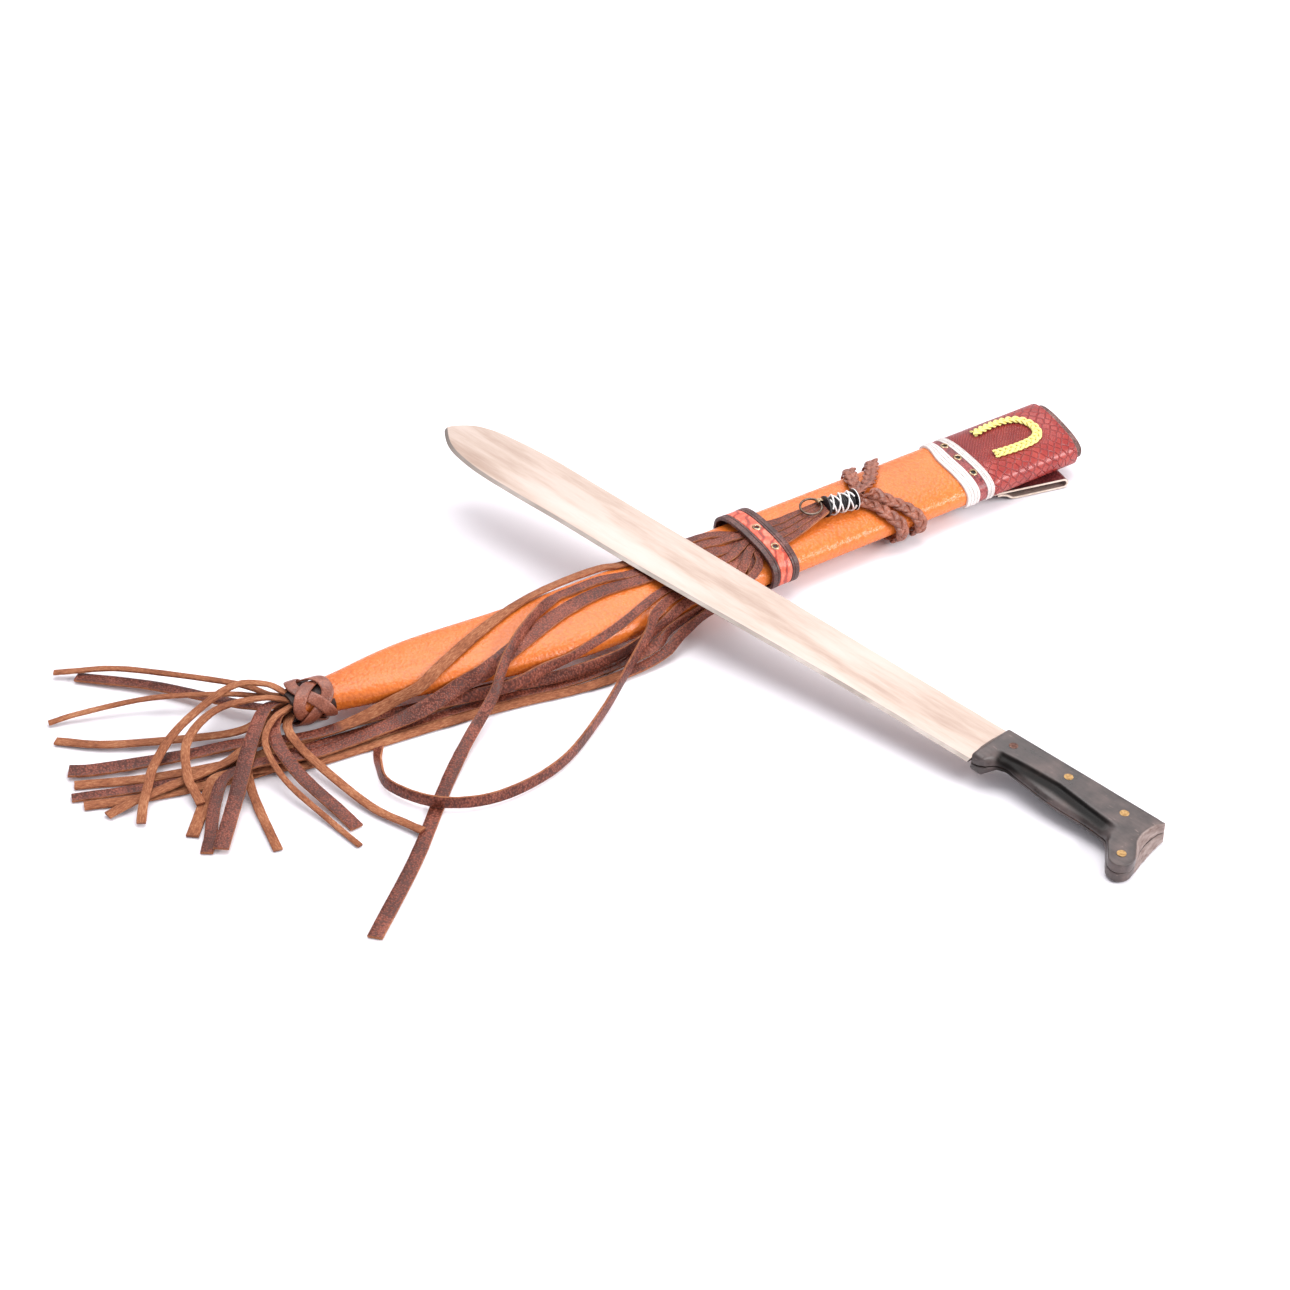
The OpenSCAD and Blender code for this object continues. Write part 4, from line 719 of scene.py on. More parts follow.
def dress(piece, material, body="scabbard", standsFor=(), sharp=40):
    if material:
        piece.data.materials.clear()
        piece.data.materials.append(material)
    pickOnly(piece)
    bpy.ops.object.shade_smooth_by_angle(angle=math.radians(sharp))
    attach(piece, body)
    if standsFor:
        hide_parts(*standsFor)
    return piece


# a thong's section: side, top or bottom, and how far each corner point is set in
thongSection = [(-1, 1, 0.3, 0), (-0.35, 1, 0, 0.04), (0.35, 1, 0, 0.04), (1, 1, -0.3, 0), (1, 1, 0, -0.25),
                (1, -1, 0, 0.3), (1, -1, -0.4, 0), (0.35, -1, 0, 0), (-0.35, -1, 0, 0), (-1, -1, 0.4, 0),
                (-1, -1, 0, 0.3), (-1, 1, 0, -0.25)]


def strapRings(path):
    rings = []
    for i, p in enumerate(path):
        forward = heading(path, i)
        side = Vector((0, 0, 1)).cross(forward).normalized()
        up = forward.cross(side)
        r = math.radians(p[3])
        across = side * math.cos(r) + up * math.sin(r)
        above = up * math.cos(r) - side * math.sin(r)
        half = p[4] / 2 + random.uniform(-1, 1) * thong["cutWobble"]
        rings.append([Vector(p[:3]) + across * (a * half + da) + above * (h * p[5] / 2 + dh)
                      for a, h, da, dh in thongSection])
    return rings


for name, (turns, wide, route) in thongRoutes.items():
    path = smoothPath(route, 6)
    marks = []
    for p in path:
        grainUp = sum(p[0] < x for x in turns) % 2 == 0
        marks += [1] * 4 + [0] * 8 if grainUp else [0] * 6 + [1] * 4 + [0] * 2
    piece = skinStrands(name + "_leather", [strapRings(path)], marks)
    dress(piece, thongLeather, "scabbard", (name,), 50)
print("thongs made:", len(thongRoutes))


def ovalSection(wide, thick, count=10, power=2.6):
    return [(wide / 2 * math.copysign(abs(math.cos(a)) ** (2 / power), math.cos(a)),
             thick / 2 * math.copysign(abs(math.sin(a)) ** (2 / power), math.sin(a)))
            for a in (2 * math.pi * j / count for j in range(count))]


def plaitStrands(centres, ups, plait, sizes=None):
    # three flat strands that cross in turn, about a middle line with its upward directions
    far = [0]
    for p, q in zip(centres, centres[1:]):
        far.append(far[-1] + (q - p).length)
    strands = []
    for k in range(3):
        line = []
        for i, (c, u) in enumerate(zip(centres, ups)):
            side = heading(centres, i).cross(u).normalized()
            turn = 2 * math.pi * (far[i] / plait["pitch"] + k / 3)
            swing, lift = plait["reach"] * math.sin(turn), plait["lift"] * math.sin(2 * turn)
            size = sizes[i] if sizes else 1
            line.append(c + side * (swing * size) + u * (lift * size))
        rings = []
        for i, (p, u) in enumerate(zip(line, ups)):
            forward = heading(line, i)
            across = forward.cross(u).normalized()
            above = across.cross(forward)
            size = sizes[i] if sizes else 1
            narrow = 1 - plait["narrow"] * math.sin(2 * math.pi * (far[i] / plait["pitch"] + k / 3)) ** 2
            rings.append([p + across * a * size * narrow + above * h * size
                          for a, h in ovalSection(plait["strand"], plait["thick"], 10, plait["power"])])
        strands.append(rings)
    return strands


lanyard = {"reach": 3.6, "lift": 1.05, "pitch": 24, "strand": 5.8, "thick": 2.0, "power": 2.3,
           "narrow": 0.35, "strandMarks": [0.6, 1, 1, 1, 1, 0.6, 0.3, 0.3, 0.3, 0.3]}


def braidPoint(x, u, w, wide=9):
    return [*placed(x, u, w), wide]


braidRoutes = {"braid_inner": [braidPoint(115, -2.8, 17.2, 4.4), braidPoint(120, -1.6, 15.8, 6),
                               braidPoint(124.5, 2.5, 14.4, 8), braidPoint(127.5, 9, 14),
                               braidPoint(130, 17, 13.3), braidPoint(135.5, 26, 10.8),
                               braidPoint(140.5, 32.2, 7), braidPoint(142.5, 34.8, 0.5),
                               braidPoint(142, 34.2, -6), braidPoint(141, 28, -11.8),
                               braidPoint(140.5, 15, -13.9), braidPoint(140, 0, -13.9),
                               braidPoint(139.5, -15, -13.9), braidPoint(139, -27, -12.4),
                               braidPoint(138.5, -33.6, -6), braidPoint(137.5, -34.4, 1),
                               braidPoint(136, -32.8, 6.5), braidPoint(132.5, -28, 10.4),
                               braidPoint(128.5, -20, 12.9), braidPoint(124.7, -12, 14, 8),
                               braidPoint(119.5, -9, 15.8, 6), braidPoint(114.2, -8.1, 17.2, 4.4)],
               "braid_outer": [braidPoint(115, -2.8, 21, 4.4), braidPoint(120, -2, 20.9, 5.2),
                               braidPoint(127, 0.8, 19.6, 7), braidPoint(133.3, 4, 17.8),
                               braidPoint(140, 10, 15.2), braidPoint(147.4, 17, 13.4),
                               braidPoint(155.5, 25.5, 11), braidPoint(161, 31.8, 7.4),
                               braidPoint(162.5, 34.8, 1), braidPoint(162, 34.4, -5),
                               braidPoint(160.5, 28, -11.8), braidPoint(159, 15, -13.9),
                               braidPoint(158, 0, -13.9), braidPoint(157, -15, -13.9),
                               braidPoint(156, -27, -12.4), braidPoint(155.5, -33.6, -6),
                               braidPoint(154.5, -34.4, 1), braidPoint(152.5, -32.8, 6.5),
                               braidPoint(149, -28.5, 10.2), braidPoint(144.5, -22.5, 12.6),
                               braidPoint(139, -15.4, 14.2), braidPoint(133.5, -9, 16.2),
                               braidPoint(127, -6.8, 19.3, 7), braidPoint(120, -8, 20.8, 5.2),
                               braidPoint(114.2, -8.1, 21, 4.4)], }
for name, route in braidRoutes.items():
    path = smoothPath(route, 14)
    centres = [Vector(p[:3]) for p in path]
    ups = []
    for i, p in enumerate(path):
        forward = heading(path, i)
        side = (Vector((1, 0, 0)) - forward * forward.x).normalized()
        ups.append(side.cross(forward))
    strands = plaitStrands(centres, ups, lanyard, [p[3] / 9 for p in path])
    piece = skinStrands(name + "_plait", strands, lanyard["strandMarks"])
    dress(piece, knotHide, "scabbard", (name,), 60)

bands = {"collarLong": 85, "collar": 1.2, "ply": 5.5, "groove": 0.4, "band": 7.3, "step": 0.1,
         "eyeletIn": 3.3, "eyelets": (17.5, 1.5, -16.5)}
horseshoe = {"reach": 2.8, "lift": 0.8, "pitch": 15, "strand": 3, "thick": 1.4, "power": 2.2, "narrow": 0.3,
             "raise": 1.4}
shoeLine = [[scabbard["mouth"] - x, u] for x, u in [
    (66.8, 16.8), (51.3, 18.5), (37.3, 18), (26.8, 13.8), (21.8, 4.4), (23.8, -5), (31.8, -10), (45.3, -11),
    (57.3, -10.5), (68.8, -9.5)]]
bandLift = scabbard["fit"] + bands["collar"]
centres, ups = [], []
for x, u in smoothPath(shoeLine, 14):
    a, b = halfWide + bandLift, halfThick + bandLift
    r = math.radians(ovalTilt(a, b, u) - scabbard["lean"])
    up = Vector((0, math.sin(r), math.cos(r)))
    centres.append(placed(x, u, ovalHeight(a, b, u)) + up * horseshoe["raise"])
    ups.append(up)
piece = skinStrands("horseshoe_plait", plaitStrands(centres, ups, horseshoe))
dress(piece, shoeCord, "scabbard", ("horseshoe",), 60)
print("plaits made")


# the tip's knot: one flat strand, three leads and four bights
knot = {"half": 10.6, "a": 15.7, "b": 12, "wide": 8.2, "thick": 1.6, "rise": (1.6 + 0.95) / 1.73,
        "place": (-306.5, 125.6, 14.5), "turn": -14.5, "points": 330}


def knotPoint(t):
    lift = knot["rise"] * math.sin(math.radians(8 * t / 3))
    return Vector((knot["half"] * math.cos(math.radians(4 * t / 3 + 90)),
                   (knot["a"] + lift) * math.cos(math.radians(t)),
                   (knot["b"] + lift) * math.sin(math.radians(t))))


line = [knotPoint(8 + (3 * 360 - 16) * i / knot["points"]) for i in range(knot["points"] + 1)]
knotPlace = Matrix.Translation(knot["place"]) @ Matrix.Rotation(math.radians(knot["turn"]), 4, "Z")
rings = []
for i, p in enumerate(line):
    forward = heading(line, i)
    outward = Vector((0, p.y / knot["a"], p.z / knot["b"])).normalized()
    across = outward.cross(forward).normalized()
    above = forward.cross(across)
    rings.append([knotPlace @ (p + across * a + above * h)
                  for a, h in ovalSection(knot["wide"], knot["thick"], 14, 3.2)])
piece = skinStrands("tip_knot_strand", [rings])
dress(piece, knotHide, "scabbard", ("tip_knot",), 60)
# a dark sleeve round the tip under the knot, seen only through the knot's gaps
tipWrap = {"start": -296, "end": -323, "thick": 1.1, "soft": 12}
rings = []
for x in range(tipWrap["start"], tipWrap["end"], -2):
    p = station(x, tipWrap["soft"])
    rings.append([placed(x, (p[2] + tipWrap["thick"]) * c, (p[3] + tipWrap["thick"]) * s, tipWrap["soft"])
                  for c, s in ((math.cos(math.radians(10 * i)), math.sin(math.radians(10 * i)))
                               for i in range(36))])
dress(skinStrands("tip_wrap", [rings]), wrapHide, "scabbard")


# the tassel's ferrule: black winding, white lacing
ferrule = {"length": 24.4, "disc": 1.2, "core": 3.9, "winding": 1.5, "lacing": 1.3,
           "windingTurns": 12, "laceRise": 0.75, "rim": 7.2, "place": (89.6, -1.9, 18.6), "turn": -8.4}
ferrulePlace = (Matrix.Translation((0, scabbard["across"], scabbard["height"]))
                @ Matrix.Rotation(math.radians(scabbard["lean"]), 4, "X")
                @ Matrix.Translation(ferrule["place"])
                @ Matrix.Rotation(math.radians(ferrule["turn"]), 4, "Z")
                @ Matrix.Rotation(math.radians(90), 4, "Y"))


def tubeRings(line, wide, place, count=8):
    rings = []
    for i, p in enumerate(line):
        forward = heading(line, i)
        side = forward.cross(Vector((0, 0, 1)) if abs(forward.z) < 0.9 else Vector((1, 0, 0))).normalized()
        up = forward.cross(side)
        rings.append([place @ (Vector(p) + side * (wide / 2 * math.cos(a)) + up * (wide / 2 * math.sin(a)))
                      for a in (2 * math.pi * j / count for j in range(count))])
    return rings


def coil(radius, start, end, turns, first=0, steps=36):
    return [(radius * math.cos(a), radius * math.sin(a), start + (end - start) * i / (steps * turns))
            for i in range(int(steps * turns) + 1) for a in (2 * math.pi * (first + i / steps),)]


windRadius = ferrule["core"] + ferrule["winding"] / 2 + 0.05
laceIn = windRadius + ferrule["winding"] / 2 + ferrule["lacing"] / 2 + 0.05
laceOut = laceIn + ferrule["laceRise"]
near, end = ferrule["disc"], ferrule["length"] - ferrule["disc"]
winding = [(windRadius, 0, near + 0.1)] + coil(windRadius, near + 0.9, end - 0.9,
                                               ferrule["windingTurns"]) + [(windRadius, 0, end - 0.1)]
piece = skinStrands("ferrule_winding_cord", [tubeRings(winding, ferrule["winding"], ferrulePlace)])
dress(piece, windingCord, "scabbard", ("ferrule_winding",), 60)
lacing = []  # each lace: radius, first turn, turns, from and to
for radius, first, turns, start, stop in ((laceIn, 0.05, 1.55, near, end), (laceIn, 0.52, 1.4, near, end),
                                          (laceOut, 0.2, 1.5, end, near), (laceOut, 0.74, 1.35, end, near)):
    step = math.copysign(1.4, stop - start)
    lacing.append(coil(radius, start + step, stop - step, turns, first))
rim = [(ferrule["rim"] * math.cos(a), ferrule["rim"] * math.sin(a), ferrule["length"] - 0.5)
       for a in (2 * math.pi * i / 48 for i in range(48))]
strands = [tubeRings(line, ferrule["lacing"], ferrulePlace) for line in lacing + [rim + rim[:1]]]
piece = skinStrands("ferrule_lacing_cord", strands)
dress(piece, lacingCord, "scabbard", ("ferrule_lacing",), 60)
print("knot and ferrule made")


ovalCount = 112  # points round a piece that goes round the scabbard


def ovalPoint(a, b, i):
    t = 2 * math.pi * i / ovalCount - math.pi / 2
    k = 2 / scabbard["round"]
    return (a * math.copysign(abs(math.cos(t)) ** k, math.cos(t)),
            b * math.copysign(abs(math.sin(t)) ** k, math.sin(t)))


def wrapMap(piece, a, b):  # map: along the scabbard, and round it from underneath
    far = [0]
    for i in range(ovalCount):
        far.append(far[-1] + (Vector(ovalPoint(a, b, i + 1)) - Vector(ovalPoint(a, b, i))).length)
    mesh = piece.data
    layer = mesh.uv_layers.new(name="along")
    power = scabbard["round"] / 2
    for face in mesh.polygons:
        rounds = []
        for loop in face.loop_indices:
            co = mesh.vertices[mesh.loops[loop].vertex_index].co * 1000
            c = math.copysign(abs(co.y / a) ** power, co.y)
            s = math.copysign(abs(co.z / b) ** power, co.z)
            t = ((math.atan2(s, c) + math.pi / 2) / (2 * math.pi)) % 1
            rounds.append((co.x, t))
        if max(t for _, t in rounds) - min(t for _, t in rounds) > 0.5:
            rounds = [(x, t + 1 if t < 0.5 else t) for x, t in rounds]
        for loop, (x, t) in zip(face.loop_indices, rounds):
            whole, part = divmod(t * ovalCount, 1)
            base = far[int(whole) % ovalCount] + (far[-1] if whole >= ovalCount else 0)
            step = far[int(whole) % ovalCount + 1] - far[int(whole) % ovalCount]
            layer.data[loop].uv = (x * 0.001, (base + part * step) * 0.001)


taperSoft = 24  # how far the taper's corners are rounded


def layAlong(piece, up=0, slanted=False):  # from the straight section frame to the ground's frame
    for vertex in piece.data.vertices:
        x, u, w = vertex.co * 1000
        if slanted:
            x += math.tan(math.radians(scabbard["slant"])) * u * min(1, max(0, (x - 285) / 20))
        vertex.co = mm(placed(x, u, w + up, taperSoft))


def growHoop(name, profile, a, b):
    # a ring on the scabbard's oval, extruded round the profile: along, and how far out
    x0, g0 = profile[0]
    piece = circleThrough(name, [(x0, *ovalPoint(a + g0, b + g0, i)) for i in range(ovalCount)])
    for x, g in profile[1:] + profile[:1]:
        bpy.ops.mesh.extrude_region_move(TRANSFORM_OT_translate={"value": ((x - x0) * 0.001, 0, 0)})
        bpy.ops.transform.resize(value=(1, (a + g) / (a + g0), (b + g) / (b + g0)),
                                 center_override=(0, 0, 0))
        x0, g0 = x, g
    closeUp(piece, 0.02)
    return piece


def padded(x0, x1, g0, g1, r, steps):  # a strap's section with eased edges
    top = [(x0 + r + (x1 - x0 - 2 * r) * i / steps, g1) for i in range(steps + 1)]
    low = [(x, g0) for x, _ in reversed(top)]
    return [(x0, g0 + r * 0.6), (x0, g1 - r)] + top + [(x1, g1 - r), (x1, g0 + r * 0.6)] + low


# the orange skin: rings along the taper, then a wall
xs = [310.9, 306, 300, 292, 284] + list(range(270, -100, -20)) + list(range(-104, -318, -6)) + [-318]
skin = circleThrough("scabbard_skin", [(xs[0], *ovalPoint(halfWide, halfThick, i))
                                       for i in range(ovalCount)])
for x, nextX in zip(xs, xs[1:]):
    p, q = station(x, taperSoft), station(nextX, taperSoft)
    bpy.ops.mesh.extrude_region_move(TRANSFORM_OT_translate={"value": ((nextX - x) * 0.001, 0, 0)})
    bpy.ops.transform.resize(value=(1, q[2] / p[2], q[3] / p[3]), center_override=(0, 0, 0))
bpy.ops.mesh.edge_face_add()
closeUp(skin)
layAlong(skin, slanted=True)
applyModifier(skin, "SOLIDIFY", "wall", thickness=scabbard["skin"] * 0.001, offset=-1)
dress(skin, scabbardHide, "scabbard", ("sheath_leather",), 50)

# lining: a dark tube that stands out of the mouth
outer = -scabbard["skin"] - scabbard["fit"]
inner = outer - scabbard["lining"]
tip = scabbard["mouth"] + scabbard["liningShows"]
lining = growHoop("scabbard_lining", [
    (tip, outer - 0.4), (tip, inner + 0.4), (tip - 0.5, inner), (290, inner), (100, inner), (-110, inner),
    (-110, outer), (100, outer), (290, outer), (305, outer), (tip - 0.5, outer)], halfWide, halfThick)
layAlong(lining, slanted=True)
dress(lining, liningHide, "scabbard", ("sheath_lining",), 50)

# collar with its embossed scales
collarEnd = scabbard["mouth"] - bands["collarLong"]
mouth = scabbard["mouth"]
collar = growHoop("collar_hide", [
    (collarEnd + 0.3, 0.1), (collarEnd, 0.4), (collarEnd, 0.9), (collarEnd + 0.4, bandLift)]
    + [(collarEnd + 0.4 + i * 6, bandLift) for i in range(1, 14)]
    + [(mouth - 0.6, bandLift), (mouth - 0.15, bandLift - 0.25), (mouth, 0.6), (mouth - 0.1, 0.1)],
    halfWide, halfThick)
wrapMap(collar, halfWide + bandLift, halfThick + bandLift)
marks = []  # the scales grow towards the near side and the mouth
for vertex in collar.data.vertices:
    x, u, w = vertex.co * 1000
    near = min(1, max(0, (-8 - u) / 9)) if w > 0 else 1
    mouthward = min(1, max(0, (x - 285 + 0.5 * u) / 14))
    marks.append(max(near, mouthward))
markPoints(collar, "large", marks)
layAlong(collar, slanted=True)
dress(collar, scaleHide, "scabbard", ("collar",), 50)


# the two white strips: pairs of flat cords sewn side by side
def ply(x0, x1):  # one cord's rounded section with its pressed line
    m = (x0 + x1) / 2
    return [(x0, 0.3), (x0, 1.5), (x0 + 0.5, 1.85), (m - 0.5, 2.0), (m - 0.2, 1.45), (m + 0.2, 1.45),
            (m + 0.5, 2.0), (x1 - 0.5, 1.85), (x1, 1.5), (x1, 0.3)]


step = bands["step"]
bandStart = collarEnd - step - bands["ply"] - 1
eyeletStart = bandStart - step - bands["band"]
lowStart = eyeletStart - step - 2 * bands["ply"] - bands["groove"]
for name, x0, x1 in (("strip_high", bandStart, collarEnd - step),
                     ("strip_low", lowStart, eyeletStart - step)):
    half = (x1 - x0 - bands["groove"]) / 2
    profile = ply(x0, x0 + half) + [(x0 + half + 0.05, 0.9), (x1 - half - 0.05, 0.9)] + ply(x1 - half, x1)
    profile += [(x1, 0.1), (x0, 0.1)]
    strip = growHoop(name + "_cords", profile, halfWide, halfThick)
    if name == "strip_low":  # its cords close up on the far side
        for vertex in strip.data.vertices:
            x, u, w = vertex.co * 1000
            vertex.co.x += ((x1 - x) * 0.35 + 2.2) * ease((u - 2) / 28) * 0.001
    layAlong(strip)
    dress(strip, stripHide, "scabbard", (name,), 35)


def drill(piece, holes, wide, deep):  # round holes through a leather layer
    for place in holes:
        deselectAll()
        bpy.ops.mesh.primitive_cylinder_add(vertices=32, radius=wide / 2000, depth=deep * 0.001)
        cutter = bpy.context.object
        cutter.data.transform(place)
        applyModifier(piece, "BOOLEAN", "hole", operation="DIFFERENCE", object=cutter, solver="EXACT")
        bpy.data.objects.remove(cutter)


def seat(x, u, a, b, up=0):  # a place on the hoop, its Z axis out of the leather
    tilt = math.radians(-ovalTilt(a, b, u))
    return leaning @ Matrix.Translation(mm((x, u, ovalHeight(a, b, u) + up))) @ Matrix.Rotation(tilt, 4,
                                                                                                "X")


# an eyelet's section: out from its middle, and up from the leather
eyeletSection = [(1.75, -0.9), (1.75, 0.05), (1.95, 0.42), (2.4, 0.6), (2.9, 0.45), (3.2, 0.1), (3.2, -0.1)]


def addEyelets(name, places, body, node):
    # rolled flange and barrel, spun from its section, over a dark disc in the hole that is painted shade
    parts = []
    for place in places:
        deselectAll()
        bpy.ops.mesh.primitive_circle_add(vertices=3, radius=0.001)
        eyelet = bpy.context.object
        mesh = bmesh.new()
        corners = [mesh.verts.new(mm((r, 0, z))) for r, z in eyeletSection]
        for pair in zip(corners, corners[1:]):
            mesh.edges.new(pair)
        mesh.to_mesh(eyelet.data)
        mesh.free()
        bpy.ops.object.mode_set(mode="EDIT")
        bpy.ops.mesh.select_all(action="SELECT")
        bpy.ops.mesh.spin(steps=28, angle=math.radians(360), center=(0, 0, 0), axis=(0, 0, 1))
        closeUp(eyelet, 0.01)
        eyelet.data.transform(place)
        # the dark disc down in the hole is painted shade
        bpy.ops.mesh.primitive_cylinder_add(vertices=28, radius=0.0018, depth=0.0003, location=(0, 0, 0))
        disc = bpy.context.object
        disc.data.transform(place @ Matrix.Translation(mm((0, 0, -0.7))))
        disc.data.materials.append(blackDiscsAndHoleShade)
        eyelet.data.materials.append(eyeletBrass)
        parts += [eyelet, disc]
    deselectAll()
    for part in parts:
        part.select_set(True)
    bpy.context.view_layer.objects.active = parts[0]
    bpy.ops.object.join()
    whole = bpy.context.object
    whole.name = whole.data.name = name
    dress(whole, None, body, (node,), 40)


band = growHoop("eyelet_band_hide", padded(eyeletStart, bandStart - step, scabbard["fit"], bandLift, 0.3,
                                           2), halfWide, halfThick)
layAlong(band)
eyeletX = eyeletStart + bands["band"] - bands["eyeletIn"]
holes = [seat(eyeletX + 0.06 * max(0, u), u, halfWide + bandLift, halfThick + bandLift)
         for u in bands["eyelets"]]
drill(band, holes, 3.6, 2.2)
addEyelets("band_eyelet_rings", holes, "scabbard", "band_eyelets")
dress(band, bandHide, "scabbard", ("eyelet_band",), 40)

# keeper: strap with two raised, lined edges, and its red inlay
keeper = {"start": 21.5, "wide": 22.5, "strap": 1.6, "edge": 1.0, "edgeWide": 6, "inlay": 0.8,
          "holes": (4, -17.5), "a": halfWide + 2.2, "top": halfThick + 2 * thong["thickness"] + 1.3}
keeper["b"] = (keeper["top"] + halfThick + 0.8) / 2
keeper["up"] = keeper["top"] - keeper["b"]
x0, rise = keeper["start"], keeper["strap"] + keeper["edge"]
edgeWide = keeper["edgeWide"]
edge = [(0.4, 0), (0, 0.4), (0, rise - 0.5), (0.15, rise - 0.15), (0.6, rise), (edgeWide - 2.3, rise),
        (edgeWide - 2, rise - 0.35), (edgeWide - 1.7, rise), (edgeWide - 0.4, rise), (edgeWide, rise - 0.4),
        (edgeWide, keeper["strap"])]
section = edge + [(keeper["wide"] - x, g) for x, g in reversed(edge)]
strap = growHoop("keeper_strap_hide", [(x0 + x, g) for x, g in section], keeper["a"], keeper["b"])
layAlong(strap, keeper["up"])
inlaid = edgeWide + scabbard["fit"]
bed = keeper["strap"] + 0.02
inlay = growHoop("keeper_inlay_hide", padded(x0 + inlaid, x0 + keeper["wide"] - inlaid, bed, bed
                                             + keeper["inlay"], 0.4, 3), keeper["a"], keeper["b"])
layAlong(inlay, keeper["up"])
holes = [seat(x0 + keeper["wide"] / 2 + 0.8, u, keeper["a"] + keeper["strap"], keeper["b"]
              + keeper["strap"], keeper["up"]) for u in keeper["holes"]]
drill(strap, holes, 3.4, 8)
drill(inlay, holes, 3.4, 8)
onInlay = Matrix.Translation(mm((0, 0, keeper["inlay"])))
addEyelets("keeper_eyelet_rings", [place @ onInlay for place in holes], "keeper", "keeper_eyelets")
dress(strap, keeperHide, "keeper", ("keeper_strap",), 35)
dress(inlay, inlayHide, "keeper", ("keeper_inlay",), 35)
print("scabbard dressed")


# the belt loop: a folded strap under the collar
loop = {"wide": 44, "thick": 1.8, "place": (293.5, 52.5, 0), "turn": -14}


def reach(a, b, lean):
    return ((a * math.sin(math.radians(lean))) ** 1.625
            + (b * math.cos(math.radians(lean))) ** 1.625) ** (1 / 1.625)


loopHigh = scabbard["height"] - reach(halfWide + bandLift, halfThick + bandLift, scabbard["lean"]) - 0.15
r, t = loopHigh / 2, loop["thick"]
foot = [(-58, loopHigh - 1.5 * t - 0.1), (-54, loopHigh - 1.6 * t), (-50, loopHigh - 2.3 * t),
        (-46, 0.75 * t)]
foot += [(x, t / 2) for x in (-41, -30, -18, -r - 3)]
fold = [(-r + (r - t / 2) * math.cos(a), r + (r - t / 2) * math.sin(a))
        for a in (math.radians(-90 + 15 * i) for i in range(13))]
top = [(x, loopHigh - t / 2) for x in (-r - 3, -20, -35, -50, -62)]
line = smoothPath([list(p) for p in foot + fold + top], 3)
loopPlace = Matrix.Translation(loop["place"]) @ Matrix.Rotation(math.radians(loop["turn"]), 4, "Z")
wide, rings = loop["wide"], []
section = [(0.3, 1), (wide / 2, 1), (wide - 0.3, 1), (wide, 0.6), (wide, -0.6), (wide - 0.3, -1),
           (wide / 2, -1), (0.3, -1), (0, -0.6), (0, 0.6)]
for i, (x, z) in enumerate(line):
    p, q = line[max(i - 1, 0)], line[min(i + 1, len(line) - 1)]
    d = Vector((q[0] - p[0], q[1] - p[1])).normalized()
    n = Vector((d.y, -d.x))  # outwards, away from the fold's middle
    rings.append([loopPlace @ Vector((x + n.x * g * t / 2, y, z + n.y * g * t / 2)) for y, g in section])
piece = skinStrands("belt_loop_strap", [rings], [1, 1, 1, 0, 0, 0.7, 0.7, 0.7, 0, 0])
dress(piece, loopLeather, "scabbard", ("belt_loop",), 50)


machete = {"x": 34.4, "y": -172, "thick": 14.5, "rest": 131, "cross": 286, "blade": 2, "bevel": 3,
           "clear": 0.77}
crossHigh = (scabbard["height"] + reach(halfWide, halfThick, scabbard["lean"]) + thong["thickness"]
             + machete["blade"] / 2 + machete["clear"])
tilt = math.asin((crossHigh - machete["thick"] / 2) / (machete["cross"] + machete["rest"]))
high = machete["thick"] / 2 / math.cos(tilt) + machete["rest"] * math.sin(tilt)
machetePlace = (Matrix.Translation(mm((machete["x"], machete["y"], high)))
                @ Matrix.Rotation(math.radians(bladeTurn), 4, "Z") @ Matrix.Rotation(-tilt, 4, "Y"))

# along the blade, spine and edge
bladeForm = [[0, 0, 42], [60, 0, 42.7], [120, 0, 43.8], [200, 0, 47], [250, 0, 49], [300, 0, 50.5],
             [359, 0, 51], [398, 0, 52.2], [411, 0, 52.4], [431, 1.1, 52.6], [450, 2.9, 51.6],
             [468, 5.5, 48.7], [478, 8.6, 45.4], [485, 12, 41.8], [491, 17, 37.6], [496, 23.5, 33.6],
             [498, 28.4, 31]]
form = smoothPath(bladeForm, 5)
deselectAll()
bpy.ops.mesh.primitive_grid_add(x_subdivisions=len(form) - 1, y_subdivisions=10, size=1)
blade = bpy.context.object
blade.name = blade.data.name = "blade_steel"
cuts = [0, 0.12, 0.25, 0.4, 0.55, 0.7, 0.82, 0.92, 1]  # rows on the flat, as shares of its width
for i, vertex in enumerate(blade.data.vertices):
    row, column = divmod(i, len(form))
    x, spine, edge = form[column]
    bevel = min(machete["bevel"], (edge - spine) / 2)
    flat = edge - bevel - spine
    y = spine + flat * cuts[row] if row < 9 else edge - bevel + bevel * (row - 8) / 2
    vertex.co = mm((x, y, 0))
applyModifier(blade, "SOLIDIFY", "thickness", thickness=machete["blade"] * 0.001, offset=0)
for vertex in blade.data.vertices:  # grind the edge thin
    x, y, z = vertex.co * 1000
    _, spine, edge = min(form, key=lambda row: abs(row[0] - x))
    bevel = min(machete["bevel"], (edge - spine) / 2)
    share = min(1, max(0, (edge - y) / bevel))
    vertex.co.z *= 0.14 + 0.86 * share

